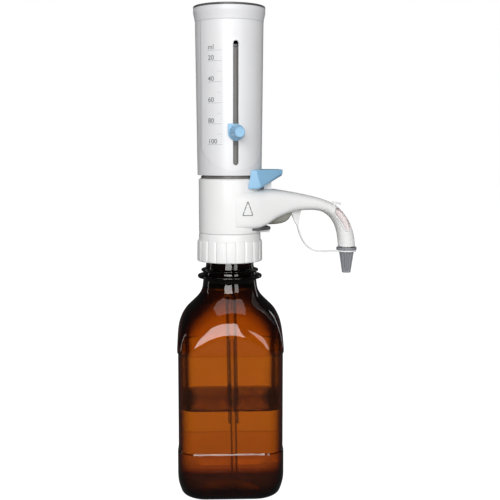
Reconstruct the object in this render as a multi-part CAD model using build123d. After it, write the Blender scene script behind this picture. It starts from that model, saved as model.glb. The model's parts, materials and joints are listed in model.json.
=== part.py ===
"""Bottle-top burette: a 100 ml piston dispenser screwed on a one litre square bottle.

Millimetres, +Z up. The origin is the middle of the bottle's base. The discharge arm
points along +X and the scale slot of the piston housing faces -Y.
"""

from build123d import *
from math import atan2, cos, degrees, hypot, radians, sin, tan
import os

os.makedirs("parts", exist_ok=True)

# Fits
sliding_gap = 0.3
seat_gap = 0.1

# Bottle
bottle_side = 89.0
bottle_corner = 16.0
bottle_wall = 3.2
bottle_floor = 5.0
bottle_heel = 14.0
bottle_yaw = -10.0
label_depth = 0.7
label_bottom = 42.5
label_top = 125.0
shoulder_height = 150.5
neck_radius = 22.7
neck_bottom = 182.5
pour_ring_radius = 27.4
pour_ring_height = 5.0
bead_radius = 24.4
bead_bottom = 190.0
bead_height = 1.5
finish_radius = 20.35
mouth_radius = 16.0
mouth_height = 215.5

# Screw thread between the bottle and the collar
thread_pitch = 4.0
thread_crest_radius = 22.1
thread_start = 199.5
thread_turns = 2.5
collar_thread_crest = 21.35
collar_thread_turns = 1.5
ridge_root = 2.2
ridge_crest = 0.8

# Washer, neck spigot and screw collar
washer_thickness = 1.5
spigot_radius = 15.2
spigot_bore = 12.0
spigot_drop = 9.0
spigot_flange_radius = 20.6
spigot_flange_height = 2.0
spigot_neck_radius = 18.2
spigot_rise = 4.0
collar_bore = 22.9
collar_radius = 27.85
collar_top_radius = 26.3
collar_skirt = 18.0
collar_top_band = 4.0
collar_ribs = 20
collar_rib_depth = 0.8
collar_notch_radius = 1.2

# Valve block
block_radius = 26.15
block_height = 45.8
block_bore = 20.4
block_deck = 7.4
lip_reach = 33.0
lip_half_width = 9.0
lip_thickness = 2.4
core_vent_radius = 1.2
core_throat = 5.0

# Filling side
fill_valve_radius = 7.6
fill_valve_height = 26.0
tube_guide_height = 7.0
fill_ball_radius = 3.2
fill_ball_lift = 1.5
fill_port_radius = 2.4
tube_lean = 0.95
fill_tube_radius = 4.6
fill_tube_bore = 3.1
fill_tube_bottom = 60.0
suction_tube_radius = 2.8
suction_tube_bore = 2.0
suction_tube_bottom = 9.6
suction_tube_top = 130.0
return_tube_radius = 1.5
return_tube_bore = 0.9
return_tube_bottom = 155.0
return_tube_offset = 7.5

# Discharge arm, tube and nozzle
spout_reach = 104.4
spout_height = 209.2
spout_radius = 7.55
tube_radius = 3.1
tube_bore = 2.1
window_wall = 1.0
window_depth = 8.2
discharge_tilt = 18.7
discharge_body_radius = 7.2
discharge_body_length = 22.5
discharge_ball_radius = 2.2
discharge_port_radius = 1.6
union_radius = 3.0
union_length = 15.4
spring_wire = 0.35
spring_turns = 6
nozzle_root_radius = 4.8
nozzle_neck_radius = 3.6
nozzle_tip_radius = 2.0
nozzle_bore = 1.2
nozzle_tip_height = 187.2
cap_top = 208.4
cap_bottom = 185.9
cap_flange_radius = 8.9
cap_flange_height = 2.4
cap_root_radius = 6.7
cap_tip_radius = 3.8
cap_flutes = 12
tether_ring_height = 1.6
tether_ring_width = 1.5
strap_radius = 0.75

# Measuring cylinder and sleeve
cylinder_bore = 19.45
cylinder_wall = 2.4
cylinder_bottom = 268.0
cylinder_top = 376.3
sleeve_wall = 1.6
sleeve_base_radius = 24.2
sleeve_base_height = 1.6
clamp_ring_height = 1.8
clamp_ring_radius = 25.0

# Housing and plunger
housing_bottom = 272.0
housing_top = 398.0
housing_room = 5.25
housing_draft = 1.45
housing_wall = 2.0
slot_width = 4.5
slot_bottom = 280.6
slot_top = 380.9
panel_half_width = 26.1
panel_shoulder = 298.0
panel_bottom = 276.0
panel_thickness = 0.5
total_height = 411.0
cap_band = 1.8
top_ring_flare = 1.45
top_ring_wall = 3.2
rod_radius = 5.0
rod_bore = 3.0
piston_radius = 19.0
piston_length = 12.0
piston_seal_radius = 19.35
piston_seal_height = 2.0
piston_start = 269.0

# Volume stop
stop_setting = 80.0
stroke_per_ml = 0.8425
slider_height = 12.0
slider_width = 13.0
slider_thickness = 1.1
pointer_height = 307.3
pointer_radius = 6.9
pointer_thickness = 2.0
stud_radius = 1.9
knob_radius = 5.25
knob_length = 14.0
knob_ribs = 14

# Valve lever
lever_bottom = 261.0
lever_height = 15.6
lever_half_width = 25.6
lever_back = 10.0
lever_side_end = 21.6
lever_top_half_width = 24.2
lever_top_side_end = 18.0
lever_nose = 44.4
lever_nose_half = 8.0
lever_nose_rise = 10.4
lever_gap = 0.6
lever_relief = 1.5
lever_relief_half = 19.0
lever_pivot_x = 31.8
lever_pivot_z = 268.6
lever_pin_radius = 1.2
lever_pin_length = 30.0
bracket_half_width = 6.0
bracket_radius = 3.2

# Levels that follow from the values above
washer_top = mouth_height + washer_thickness
flange_top = washer_top + spigot_flange_height
collar_shelf = flange_top + 0.2
collar_bottom = collar_shelf - collar_skirt - 2.0
collar_top = collar_shelf + collar_top_band
block_bottom = collar_top + 0.2
block_top = block_bottom + block_height
deck_bottom = block_top - block_deck
spigot_top = block_bottom + spigot_rise
core_top = cylinder_bottom - 2.0
cylinder_radius = cylinder_bore + cylinder_wall
sleeve_radius = cylinder_radius + 0.2 + sleeve_wall
housing_bottom_radius = cylinder_radius + housing_room
housing_top_radius = housing_bottom_radius + housing_draft
top_ring_radius = housing_top_radius + top_ring_flare
housing_slope = (housing_top_radius - housing_bottom_radius) / (housing_top - housing_bottom)
ring_top = total_height - cap_band
cap_root_bottom = cap_top - cap_flange_height
tilt = radians(discharge_tilt)
discharge_frame = Plane(origin=(30, 0, 236.6), x_dir=(0, 1, 0), z_dir=(cos(tilt), 0, sin(tilt)))


def rod(radius, bottom, top, x=0, y=0):
    """A round bar from one height to another."""
    return Pos(x, y, (bottom + top) / 2) * Cylinder(radius, top - bottom)


def ring(outer, inner, bottom, top):
    """A round tube about the Z axis."""
    return rod(outer, bottom, top) - rod(inner, bottom - 1, top + 1)


def turned(*points):
    """A solid of revolution about Z from its (radius, height) corners."""
    return revolve(Plane.XZ * make_face(Polyline(*points, close=True)), Axis.Z)


def side_prism(points, half_width):
    """A solid with an outline in the XZ plane and equal widths on both sides of it."""
    face = Plane.XZ * make_face(Polyline(*points, close=True))
    return extrude(face, half_width, both=True)


def housing_radius(height):
    """The drafted housing's outer radius at a height."""
    return housing_bottom_radius + (height - housing_bottom) * housing_slope


def thread_ridge(root, crest, start, turns, embed):
    """A right-hand helical ridge of trapezoid section from the root to the crest radius."""
    path = Helix(pitch=thread_pitch, height=thread_pitch * turns, radius=root)
    half_root = ridge_root / 2
    half_crest = ridge_crest / 2
    foot = root + embed
    corners = [(foot, -half_root), (crest, -half_crest), (crest, half_crest), (foot, half_root)]
    section = Plane.XZ * make_face(Polyline(*corners, close=True))
    return Pos(0, 0, start) * sweep(section, path=path, is_frenet=True)


# Bottle

def bottle_block(inset, bottom):
    """The rounded square body, met by the turned shoulder and neck, drawn in on every side."""
    half = bottle_side / 2 - inset
    square = RectangleRounded(2 * half, 2 * half, bottle_corner - inset)
    body = Pos(0, 0, bottom) * extrude(square, neck_bottom - bottom)
    body = fillet(body.edges().group_by(Axis.Z)[0], bottle_heel - inset)
    throat = neck_radius if inset == 0 else mouth_radius
    drop = 0.6 * inset
    foot = (half + 16, shoulder_height - 18 - drop)
    knee = (half - 6.9, shoulder_height + 8.5 - drop)
    flare = (throat + 4.0, neck_bottom - 12.5 - drop)
    shoulder = Spline(foot, knee, flare, (throat, neck_bottom), tangents=((-0.75, 1), (0, 1)))
    base = bottom - 1
    frame = Polyline((throat, neck_bottom), (0, neck_bottom), (0, base), (half + 16, base), foot)
    envelope = revolve(Plane.XZ * make_face(Curve() + [shoulder, frame]), Axis.Z)
    return body & envelope


def make_bottle():
    outer = bottle_block(0, 0)
    band = Box(bottle_side + 2, bottle_side + 2, label_top - label_bottom)
    band = Pos(0, 0, (label_bottom + label_top) / 2) * band
    panel = bottle_side - 2 * label_depth
    core = extrude(RectangleRounded(panel, panel, bottle_corner - label_depth), label_top + 1)
    outer -= band - core
    neck = turned(
        (0, neck_bottom - 1),
        (neck_radius, neck_bottom - 1),
        (neck_radius, neck_bottom),
        (pour_ring_radius, neck_bottom + 1),
        (pour_ring_radius, neck_bottom + pour_ring_height),
        (neck_radius, neck_bottom + pour_ring_height + 0.6),
        (neck_radius, bead_bottom),
        (bead_radius, bead_bottom),
        (bead_radius, bead_bottom + bead_height),
        (finish_radius, bead_bottom + bead_height + 1.5),
        (finish_radius, mouth_height - 0.8),
        (finish_radius - 0.8, mouth_height),
        (0, mouth_height),
    )
    neck += thread_ridge(finish_radius, thread_crest_radius, thread_start, thread_turns, -0.3)
    glass = outer + neck
    glass -= bottle_block(bottle_wall, bottle_floor)
    glass -= rod(mouth_radius, neck_bottom - 1, mouth_height + 1)
    return Rot(0, 0, bottle_yaw) * glass


# Neck: washer, spigot and screw collar

def make_washer():
    return ring(finish_radius - 0.8, spigot_radius + seat_gap, mouth_height, washer_top)


def make_spigot():
    body = rod(spigot_radius, washer_top - spigot_drop, washer_top)
    body += rod(spigot_flange_radius, washer_top, flange_top)
    body += rod(spigot_neck_radius, flange_top, spigot_top)
    body -= rod(spigot_bore, washer_top - spigot_drop - 1, spigot_top + 1)
    return body


def make_collar():
    body = rod(collar_radius, collar_bottom, collar_bottom + collar_skirt)
    body += rod(collar_top_radius, collar_bottom + collar_skirt, collar_top)
    notch_place = collar_radius + collar_notch_radius - collar_rib_depth
    notch_top = collar_bottom + collar_skirt - 1.5
    for index in range(collar_ribs):
        notch = rod(collar_notch_radius, collar_bottom - 1, notch_top, notch_place)
        body -= Rot(0, 0, 360 * index / collar_ribs) * notch
    body -= rod(collar_bore, collar_bottom - 1, collar_shelf)
    body -= rod(spigot_neck_radius + sliding_gap, collar_shelf - 1, collar_top + 1)
    start = thread_start + 1.5 * thread_pitch
    body += thread_ridge(collar_bore, collar_thread_crest, start, collar_thread_turns, 0.3)
    return body


# Valve block and discharge arm

def arm_sections():
    """Stations along the arm: x, z, direction below level, half width and half thickness."""
    return [
        (12.0, 245.0, 0, 23.6, 15.2),
        (30.0, 245.8, 0, 20.6, 14.2),
        (44.0, 248.4, 0, 18.2, 10.4),
        (62.0, 248.7, 5, 15.0, 7.1),
        (80.0, 246.2, 16, 12.0, 5.6),
        (91.5, 239.8, 42, 9.8, 6.2),
        (99.4, 229.2, 66, 8.6, 6.9),
        (103.4, 218.0, 82, 7.8, 7.4),
        (spout_reach, spout_height, 90, spout_radius, spout_radius),
    ]


def make_arm():
    sections = []
    for x, z, fall, half_width, half_thickness in arm_sections():
        direction = (cos(radians(fall)), 0, -sin(radians(fall)))
        plane = Plane(origin=(x, 0, z), x_dir=(0, 1, 0), z_dir=direction)
        corner = 0.96 * min(half_width, half_thickness)
        corner = min(corner, 6.0 + 0.035 * max(0, x - 30) * 1.5)
        sections.append(plane * RectangleRounded(2 * half_width, 2 * half_thickness, corner))
    return loft(sections)


def tube_path():
    """The discharge tube's centre line: straight runs joined by tangent arcs."""
    start = discharge_frame.from_local_coords((0, 0, discharge_body_length + 3.2))
    points = [
        (start.X, start.Z),
        (66.5, 249.2),
        (84.0, 246.0),
        (98.8, 237.0),
        (spout_reach, 225.5),
        (spout_reach, spout_height + 2.0),
    ]
    return Plane.XZ * FilletPolyline(*points, radius=[18, 26, 24, 20])


def along_tube(radius):
    path = tube_path()
    start = Plane(origin=path @ 0, z_dir=path % 0)
    return sweep(start * Circle(radius), path=path)


def window_outline():
    """The opening through the bend, as corners in the XZ plane between two depths under its skin."""
    skin = [(95.6, 242.9, 46), (100.6, 238.0, 55), (104.4, 233.2, 63), (107.0, 228.2, 70)]
    outer = []
    inner = []
    for x, z, fall in skin:
        out = (sin(radians(fall)), cos(radians(fall)))
        outer.append((x - window_wall * out[0], z - window_wall * out[1]))
        inner.append((x - window_depth * out[0], z - window_depth * out[1]))
    return outer + inner[::-1]


def bracket_shape(gap):
    """The upright that carries the lever's pin, grown by a gap for its pocket."""
    radius = bracket_radius + gap
    half = bracket_half_width + gap
    base = lever_bottom - 4.0 - gap
    upright = Box(2 * radius, 2 * half, lever_pivot_z - base)
    upright = Pos(lever_pivot_x, 0, (base + lever_pivot_z) / 2) * upright
    return upright + Pos(lever_pivot_x, 0, lever_pivot_z) * Rot(90, 0, 0) * Cylinder(radius, 2 * half)


def make_block_cover():
    body = rod(block_radius, block_bottom, block_top)
    body += make_arm()
    lip = Box(lip_reach, 2 * lip_half_width, lip_thickness)
    body += Pos(lip_reach / 2, 0, block_bottom + lip_thickness / 2) * lip
    body -= rod(block_bore, block_bottom - 1, deck_bottom)
    body -= rod(sleeve_radius + seat_gap, deck_bottom - 0.1, block_top + 1)
    body -= discharge_frame * Pos(0, 0, discharge_body_length / 2 + 1.5) * Cylinder(
        discharge_body_radius + seat_gap, discharge_body_length + 3.4
    )
    body -= union_rod(union_radius + seat_gap, -union_length, 2)
    body -= along_tube(tube_radius + sliding_gap)
    body -= side_prism(window_outline(), spout_radius + 6)
    socket_top = spout_height + 4.5
    body -= rod(nozzle_root_radius + seat_gap, spout_height - 1, socket_top, spout_reach)
    body -= bracket_shape(seat_gap)
    return body


def drilled(start, end, radius):
    """A straight round passage between two points of the XZ plane."""
    path = Edge.make_line((start[0], 0, start[1]), (end[0], 0, end[1]))
    return sweep(Plane(origin=path @ 0, z_dir=path % 0) * Circle(radius), path=path)


def union_rod(radius, back, front):
    """A round bar on the discharge valve's axis, between two distances along it."""
    return discharge_frame * Pos(0, 0, (back + front) / 2) * Cylinder(radius, front - back)


def make_core():
    bore_top = fill_valve_bottom + fill_valve_height + 0.5
    body = rod(block_bore - seat_gap, spigot_top + seat_gap, core_top)
    body -= rod(fill_valve_radius + seat_gap, spigot_top - 1, bore_top)
    body -= rod(core_throat, bore_top - 1, core_top + 1)
    body -= union_rod(union_radius + seat_gap, 1.4 - union_length, 1.4)
    inlet = discharge_frame.from_local_coords((0, 0, 2.0 - union_length))
    body -= drilled((inlet.X, inlet.Z), (core_throat - 2, bore_top + 5), discharge_port_radius)
    vent = rod(core_vent_radius, spigot_top - 1, core_top + 1, 0, -return_tube_offset - 4.5)
    return body - vent


def make_discharge_union():
    body = union_rod(union_radius, 1.5 - union_length, 1.4)
    return body - union_rod(discharge_port_radius, -union_length, 2)


def make_cylinder_seal():
    return ring(cylinder_radius - 0.2, cylinder_bore + 0.2, core_top, cylinder_bottom)


# Filling valve and tubes inside the bottle

fill_valve_bottom = washer_top + 0.4
fill_seat = fill_valve_bottom + 12.0
tube_socket_top = fill_valve_bottom + 8.0
lean_frame = Pos(0, 0, tube_socket_top) * Rot(0, -tube_lean, 0)


def make_fill_valve():
    body = rod(fill_valve_radius, fill_valve_bottom, fill_valve_bottom + fill_valve_height)
    body -= rod(fill_tube_radius + 0.2, fill_valve_bottom - 1, tube_socket_top)
    body -= rod(fill_port_radius, tube_socket_top - 1, fill_seat)
    chamber_top = fill_seat + 3 * fill_ball_radius + fill_ball_lift
    body -= rod(fill_ball_radius + sliding_gap, fill_seat, chamber_top)
    for angle in (0, 90, 180, 270):
        port = rod(0.9, chamber_top - 1, fill_valve_bottom + fill_valve_height + 1, 2.2)
        body -= Rot(0, 0, angle) * port
    return body


def seat_rise(ball, port):
    """How far a ball's centre rests above the edge of its round port."""
    return (ball**2 - port**2) ** 0.5 + 0.05


def make_fill_ball():
    height = fill_seat + seat_rise(fill_ball_radius, fill_port_radius)
    return Pos(0, 0, height) * Sphere(fill_ball_radius)


def leaning_tube(outer, inner, bottom, top):
    """A tube that leans with the suction line, between two heights."""
    length = top - bottom
    middle = (top + bottom) / 2 - tube_socket_top
    tube = Pos(0, 0, middle) * (Cylinder(outer, length) - Cylinder(inner, length + 2))
    return lean_frame * tube


def make_return_tube():
    top = washer_top
    x = 1.0
    y = -return_tube_offset
    tube = rod(return_tube_radius, return_tube_bottom, top, x, y)
    tube -= rod(return_tube_bore, return_tube_bottom - 1, top + 1, x, y)
    slant = Pos(x, y, return_tube_bottom) * Rot(0, 40, 0) * Pos(0, 0, -5) * Box(12, 8, 10)
    return tube - slant


def make_tube_guide():
    """A disc in the spigot that steadies the suction line and holds the return tube."""
    top = washer_top - 0.5
    bottom = top - tube_guide_height
    body = rod(spigot_bore - seat_gap / 2, bottom, top)
    body -= rod(fill_tube_radius + 0.3, bottom - 1, top + 1)
    return body - rod(return_tube_radius + seat_gap / 4, bottom - 1, top + 1, 1.0, -return_tube_offset)


# Discharge valve, tube and nozzle

ball_rest = 9.0 + seat_rise(discharge_ball_radius, discharge_port_radius)
spring_start = ball_rest + 1.6
spring_end = 19.0


def make_discharge_body():
    chamber = discharge_ball_radius + sliding_gap + 0.3
    body = Cylinder(discharge_body_radius, discharge_body_length)
    body = Pos(0, 0, 1.5 + discharge_body_length / 2) * body
    body = fillet(body.edges().filter_by(GeomType.CIRCLE), 1.2)
    body -= Pos(0, 0, 5) * Cylinder(discharge_port_radius, 8)
    body -= Pos(0, 0, (9.0 + spring_end) / 2) * Cylinder(chamber, spring_end - 9.0)
    body -= Pos(0, 0, spring_end + 3) * Cylinder(discharge_port_radius, 12)
    return discharge_frame * body


def make_discharge_ball():
    return discharge_frame * Pos(0, 0, ball_rest) * Sphere(discharge_ball_radius)


def make_discharge_spring():
    length = spring_end - spring_start - 2 * spring_wire
    radius = discharge_ball_radius - spring_wire + 0.1
    path = Helix(pitch=length / spring_turns, height=length, radius=radius)
    section = Plane(origin=path @ 0, z_dir=path % 0) * Circle(spring_wire)
    coil = Pos(0, 0, spring_start + spring_wire) * sweep(section, path=path, is_frenet=True)
    return discharge_frame * coil


def make_discharge_tube():
    return along_tube(tube_radius) - along_tube(tube_bore)


def make_nozzle():
    top = spout_height + 1.8
    body = turned(
        (0, nozzle_tip_height),
        (nozzle_tip_radius, nozzle_tip_height),
        (nozzle_neck_radius, cap_root_bottom),
        (nozzle_neck_radius, spout_height),
        (nozzle_root_radius, spout_height),
        (nozzle_root_radius, top),
        (0, top),
    )
    body -= rod(nozzle_bore, nozzle_tip_height - 1, top + 1)
    return Pos(spout_reach, 0, 0) * body


def make_nozzle_cap():
    inner_root = nozzle_neck_radius + sliding_gap
    inner_tip = nozzle_tip_radius + sliding_gap
    body = turned(
        (inner_tip, cap_bottom),
        (cap_tip_radius, cap_bottom),
        (cap_root_radius, cap_root_bottom),
        (cap_flange_radius, cap_root_bottom),
        (cap_flange_radius, cap_top),
        (inner_root, cap_top),
        (inner_root, cap_root_bottom),
    )
    slope = degrees(atan2(cap_root_radius - cap_tip_radius, cap_root_bottom - cap_bottom))
    middle = (cap_bottom + cap_root_bottom) / 2
    offset = (cap_root_radius + cap_tip_radius) / 2
    for index in range(cap_flutes):
        flute = Pos(offset + 0.35, 0, middle - 1.5) * Rot(0, slope, 0) * Cylinder(0.8, 14)
        body -= Rot(0, 0, 360 * index / cap_flutes) * flute
    return Pos(spout_reach, 0, 0) * body


ring_height = cap_root_bottom - tether_ring_height
ring_inner = cap_root_radius + seat_gap
lug_end = spout_reach - cap_flange_radius - 0.8


def make_tether_ring():
    top = cap_root_bottom
    body = rod(ring_inner + tether_ring_width, ring_height, top, spout_reach)
    lug_length = spout_reach - ring_inner - lug_end
    lug = Pos(lug_end + lug_length / 2, 0, ring_height + tether_ring_height / 2)
    body += lug * Box(lug_length, 3.0, tether_ring_height)
    return body - rod(ring_inner, ring_height - 1, top + 1, spout_reach)


def strap_points():
    middle = ring_height + tether_ring_height / 2
    bend = [(59.3, 229.9), (61.0, 223.0), (65.2, 214.8), (70.4, 208.6), (78.2, 204.7)]
    return bend + [(86.5, middle), (lug_end, middle)]


def corner_radii(points):
    """Each corner's arc: as large as 0.45 of the shorter run beside it allows."""
    radii = []
    for before, corner, after in zip(points, points[1:], points[2:]):
        first = (corner[0] - before[0], corner[1] - before[1])
        second = (after[0] - corner[0], after[1] - corner[1])
        cross = first[0] * second[1] - first[1] * second[0]
        dot = first[0] * second[0] + first[1] * second[1]
        turn = abs(atan2(cross, dot))
        radii.append(0.45 * min(hypot(*first), hypot(*second)) / tan(turn / 2))
    return radii


def make_tether_strap():
    points = strap_points()
    path = Plane.XZ * FilletPolyline(*points, radius=corner_radii(points))
    start = Plane(origin=path @ 0, z_dir=path % 0)
    return sweep(start * Circle(strap_radius), path=path) - make_tether_clip()


def make_tether_clip():
    web = [(53.0, 246.0), (62.5, 246.0), (62.5, 241.0), (60.4, 231.0), (59.8, 229.6)]
    web += [(58.4, 229.4), (56.4, 233.0)]
    return side_prism(web, 1.3) - make_arm()


# Measuring cylinder

def make_sleeve():
    body = ring(sleeve_radius, cylinder_radius + 0.2, deck_bottom, cylinder_top + 0.2)
    base_bottom = block_top + 0.2
    base_top = base_bottom + sleeve_base_height
    return body + ring(sleeve_base_radius, cylinder_radius + 1, base_bottom, base_top)


def make_glass_cylinder():
    return ring(cylinder_radius, cylinder_bore, cylinder_bottom, cylinder_top)


def make_clamp_ring():
    bottom = cylinder_top + 0.2
    return ring(clamp_ring_radius, cylinder_bore + 0.4, bottom, bottom + clamp_ring_height)


# Housing and plunger

def housing_cone(offset, bottom, top):
    """The drafted housing's shape, moved in or out by an offset."""
    low = housing_radius(bottom) + offset
    high = housing_radius(top) + offset
    return turned((0, bottom), (low, bottom), (high, top), (0, top))


def panel_prism(grow):
    """The U-shaped outline of the scale panel, carried back to the axis."""
    half = panel_half_width + grow
    drop = panel_shoulder - panel_bottom + grow
    height = housing_top - panel_shoulder
    outline = Pos(0, height / 2) * Rectangle(2 * half, height) + Ellipse(half, drop)
    outline &= Pos(0, height / 2 - drop / 2) * Rectangle(2 * half + 1, height + drop)
    face = Plane(origin=(0, 0, panel_shoulder), x_dir=(1, 0, 0), z_dir=(0, -1, 0)) * outline
    return extrude(face, housing_top_radius + 2)


def slot_prism():
    """The round-ended slot that the volume stop slides in."""
    length = slot_top - slot_bottom
    middle = (slot_top + slot_bottom) / 2
    outline = SlotOverall(length, slot_width, rotation=90)
    face = Plane(origin=(0, -10, middle), x_dir=(1, 0, 0), z_dir=(0, -1, 0)) * outline
    return extrude(face, housing_top_radius + 2)


def make_housing():
    body = housing_cone(0, housing_bottom, housing_top)
    body -= housing_cone(-housing_wall, housing_bottom - 1, housing_top + 1)
    recess = panel_prism(0) - housing_cone(-panel_thickness, panel_bottom - 1, housing_top + 1)
    body -= recess
    return body - slot_prism()


def make_scale_panel():
    shell = housing_cone(0, panel_bottom - 1, housing_top - 0.1)
    shell -= housing_cone(seat_gap - panel_thickness, panel_bottom - 2, housing_top + 1)
    return (shell & panel_prism(-seat_gap)) - slot_prism()


def make_top_ring():
    inner = top_ring_radius - top_ring_wall
    low = housing_top_radius
    body = turned(
        (inner - 0.6, housing_top),
        (low, housing_top),
        (low + 0.4, housing_top + 3),
        (top_ring_radius, housing_top + 7.5),
        (top_ring_radius, ring_top),
        (inner, ring_top),
        (inner, ring_top - 4),
        (inner - 0.6, ring_top - 4),
    )
    return body


def make_top_cap():
    plug = top_ring_radius - top_ring_wall - seat_gap
    body = rod(top_ring_radius, ring_top, total_height)
    body = fillet(body.edges().group_by(Axis.Z)[-1], 0.6)
    body += ring(plug, plug - 2, ring_top - 3, ring_top)
    body += rod(rod_radius + 3, ring_top - 14, ring_top)
    return body - rod(rod_radius + seat_gap, ring_top - 15, ring_top - 1)


def make_piston_rod():
    bottom = piston_start + piston_length
    top = ring_top - 1.2
    return rod(rod_radius, bottom, top) - rod(rod_bore, bottom - 1, top - 3)


def make_piston_head():
    body = rod(piston_radius, piston_start, piston_start + piston_length)
    for bottom in seal_levels():
        body -= ring(piston_radius + 1, piston_radius - 1.5, bottom, bottom + piston_seal_height)
    body -= rod(1.7, piston_start - 1, piston_start + piston_length + 1)
    return body - rod(3.6, piston_start - 1, piston_start + 3)


def seal_levels():
    return (piston_start + 2.0, piston_start + piston_length - 4.0)


def make_piston_seals():
    seals = []
    for bottom in seal_levels():
        low = bottom + 0.05
        high = bottom + piston_seal_height - 0.05
        seals.append(ring(piston_seal_radius, piston_radius - 1.45, low, high))
    return Compound(children=seals)


def make_piston_screw():
    body = rod(3.4, piston_start + 0.4, piston_start + 2.9)
    shank_top = piston_start + piston_length + 8
    body += rod(1.6, piston_start + 2.9, shank_top)
    socket = Pos(0, 0, piston_start + 0.4) * extrude(RegularPolygon(1.4, 6), 1.5)
    return body - socket


def make_rod_insert():
    bottom = piston_start + piston_length
    return ring(rod_bore - seat_gap, 1.7, bottom, bottom + 10)


# Volume stop

slider_inner = sleeve_radius + 0.45
slider_outer = slider_inner + slider_thickness
slider_stop = cylinder_top + 0.2 - stop_setting * stroke_per_ml - 0.3
plate_back = -(housing_radius(pointer_height) + 0.5)
plate_front = plate_back - pointer_thickness


def make_slider():
    height = slider_stop - slider_height / 2
    shell = ring(slider_outer, slider_inner, slider_stop - slider_height, slider_stop)
    window = Pos(0, -slider_outer, height) * Box(slider_width, 8, slider_height)
    guide_front = plate_back + 0.2
    guide_depth = -guide_front - slider_outer + 1.0
    guide = Box(slot_width - 2 * sliding_gap, guide_depth, 7.0)
    guide = Pos(0, guide_front + guide_depth / 2, pointer_height - 2.0) * guide
    guide -= rod(slider_outer - 0.4, slider_stop - slider_height - 1, slider_stop + 1)
    hole = Pos(0, -20, pointer_height) * Rot(90, 0, 0) * Cylinder(stud_radius - 0.6, 40)
    return (shell & window) + guide - hole


def make_pointer_plate():
    corner = (-pointer_radius, pointer_radius)
    outline = Circle(pointer_radius) + make_face(
        Polyline((0, pointer_radius), corner, (-pointer_radius, 0), (0, 0), close=True)
    )
    face = Plane(origin=(0, plate_back, pointer_height), x_dir=(1, 0, 0), z_dir=(0, -1, 0)) * outline
    body = extrude(face, pointer_thickness)
    hole = Pos(0, -20, pointer_height) * Rot(90, 0, 0) * Cylinder(stud_radius, 40)
    return body - hole


def make_stud():
    start = -(slider_outer + 0.9)
    end = plate_front - knob_length + 3.0
    shank_radius = stud_radius - seat_gap
    length = start - end
    shank = Pos(0, (start + end) / 2, pointer_height) * Rot(90, 0, 0) * Cylinder(shank_radius, length)
    return shank - make_slider()


def make_knob():
    start = plate_front - 0.3
    middle = start - knob_length / 2
    body = Cylinder(knob_radius, knob_length)
    body = fillet(body.edges().filter_by(GeomType.CIRCLE), 0.8)
    for index in range(knob_ribs):
        groove = Pos(knob_radius + 0.25, 0, 0) * Cylinder(0.7, knob_length - 3)
        body -= Rot(0, 0, 360 * index / knob_ribs) * groove
    body = Pos(0, middle, pointer_height) * Rot(90, 0, 0) * body
    depth = knob_length - 2.0
    bore = Rot(90, 0, 0) * Cylinder(stud_radius + seat_gap, depth)
    return body - Pos(0, start - depth / 2 + 0.5, pointer_height) * bore


# Valve lever

def lever_outline(half_width, side_end):
    """The lever seen from above, as a face: two straight sides that narrow to the nose."""
    corners = [
        (lever_back, half_width),
        (side_end, half_width),
        (lever_nose, lever_nose_half),
        (lever_nose, -lever_nose_half),
        (side_end, -half_width),
        (lever_back, -half_width),
    ]
    return make_face(Polyline(*corners, close=True))


def make_lever():
    top = lever_bottom + lever_height
    low_face = Pos(0, 0, lever_bottom) * lever_outline(lever_half_width, lever_side_end)
    high_face = Pos(0, 0, top) * lever_outline(lever_top_half_width, lever_top_side_end)
    body = loft([low_face, high_face])
    inner = housing_bottom_radius + lever_gap
    body -= rod(inner, lever_bottom - 1, top + 1)
    relief = rod(inner + lever_relief, lever_bottom - 1, lever_pivot_z + 1.8)
    body -= relief & Pos(0, 0, lever_bottom) * Box(80, 2 * lever_relief_half, 40)
    start = lever_side_end
    rise = lever_nose_rise / (lever_nose - start)
    reach = lever_nose + 4
    nose_level = lever_bottom + rise * (reach - start)
    under = lever_bottom - 5
    wedge = [(start, lever_bottom), (reach, nose_level), (reach, under), (start, under)]
    body -= side_prism(wedge, lever_half_width + 1)
    notch_top = lever_pivot_z + bracket_radius + sliding_gap
    notch_front = lever_pivot_x + bracket_radius + 0.8
    notch_length = notch_front - 20
    notch = Pos(notch_front - notch_length / 2, 0, (lever_bottom - 1 + notch_top) / 2)
    body -= notch * Box(notch_length, 2 * bracket_half_width + 0.8, notch_top - lever_bottom + 1)
    pin_hole = Pos(lever_pivot_x, 0, lever_pivot_z) * Rot(90, 0, 0)
    return body - pin_hole * Cylinder(lever_pin_radius + seat_gap, lever_pin_length + 1)


def make_lever_pin():
    pin = Rot(90, 0, 0) * Cylinder(lever_pin_radius, lever_pin_length)
    return Pos(lever_pivot_x, 0, lever_pivot_z) * pin


def make_bracket():
    return bracket_shape(0) - make_lever_pin()


def make_fill_tube():
    return leaning_tube(fill_tube_radius, fill_tube_bore, fill_tube_bottom, tube_socket_top - 0.2)


def make_suction_tube():
    return leaning_tube(suction_tube_radius, suction_tube_bore, suction_tube_bottom, suction_tube_top)


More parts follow.
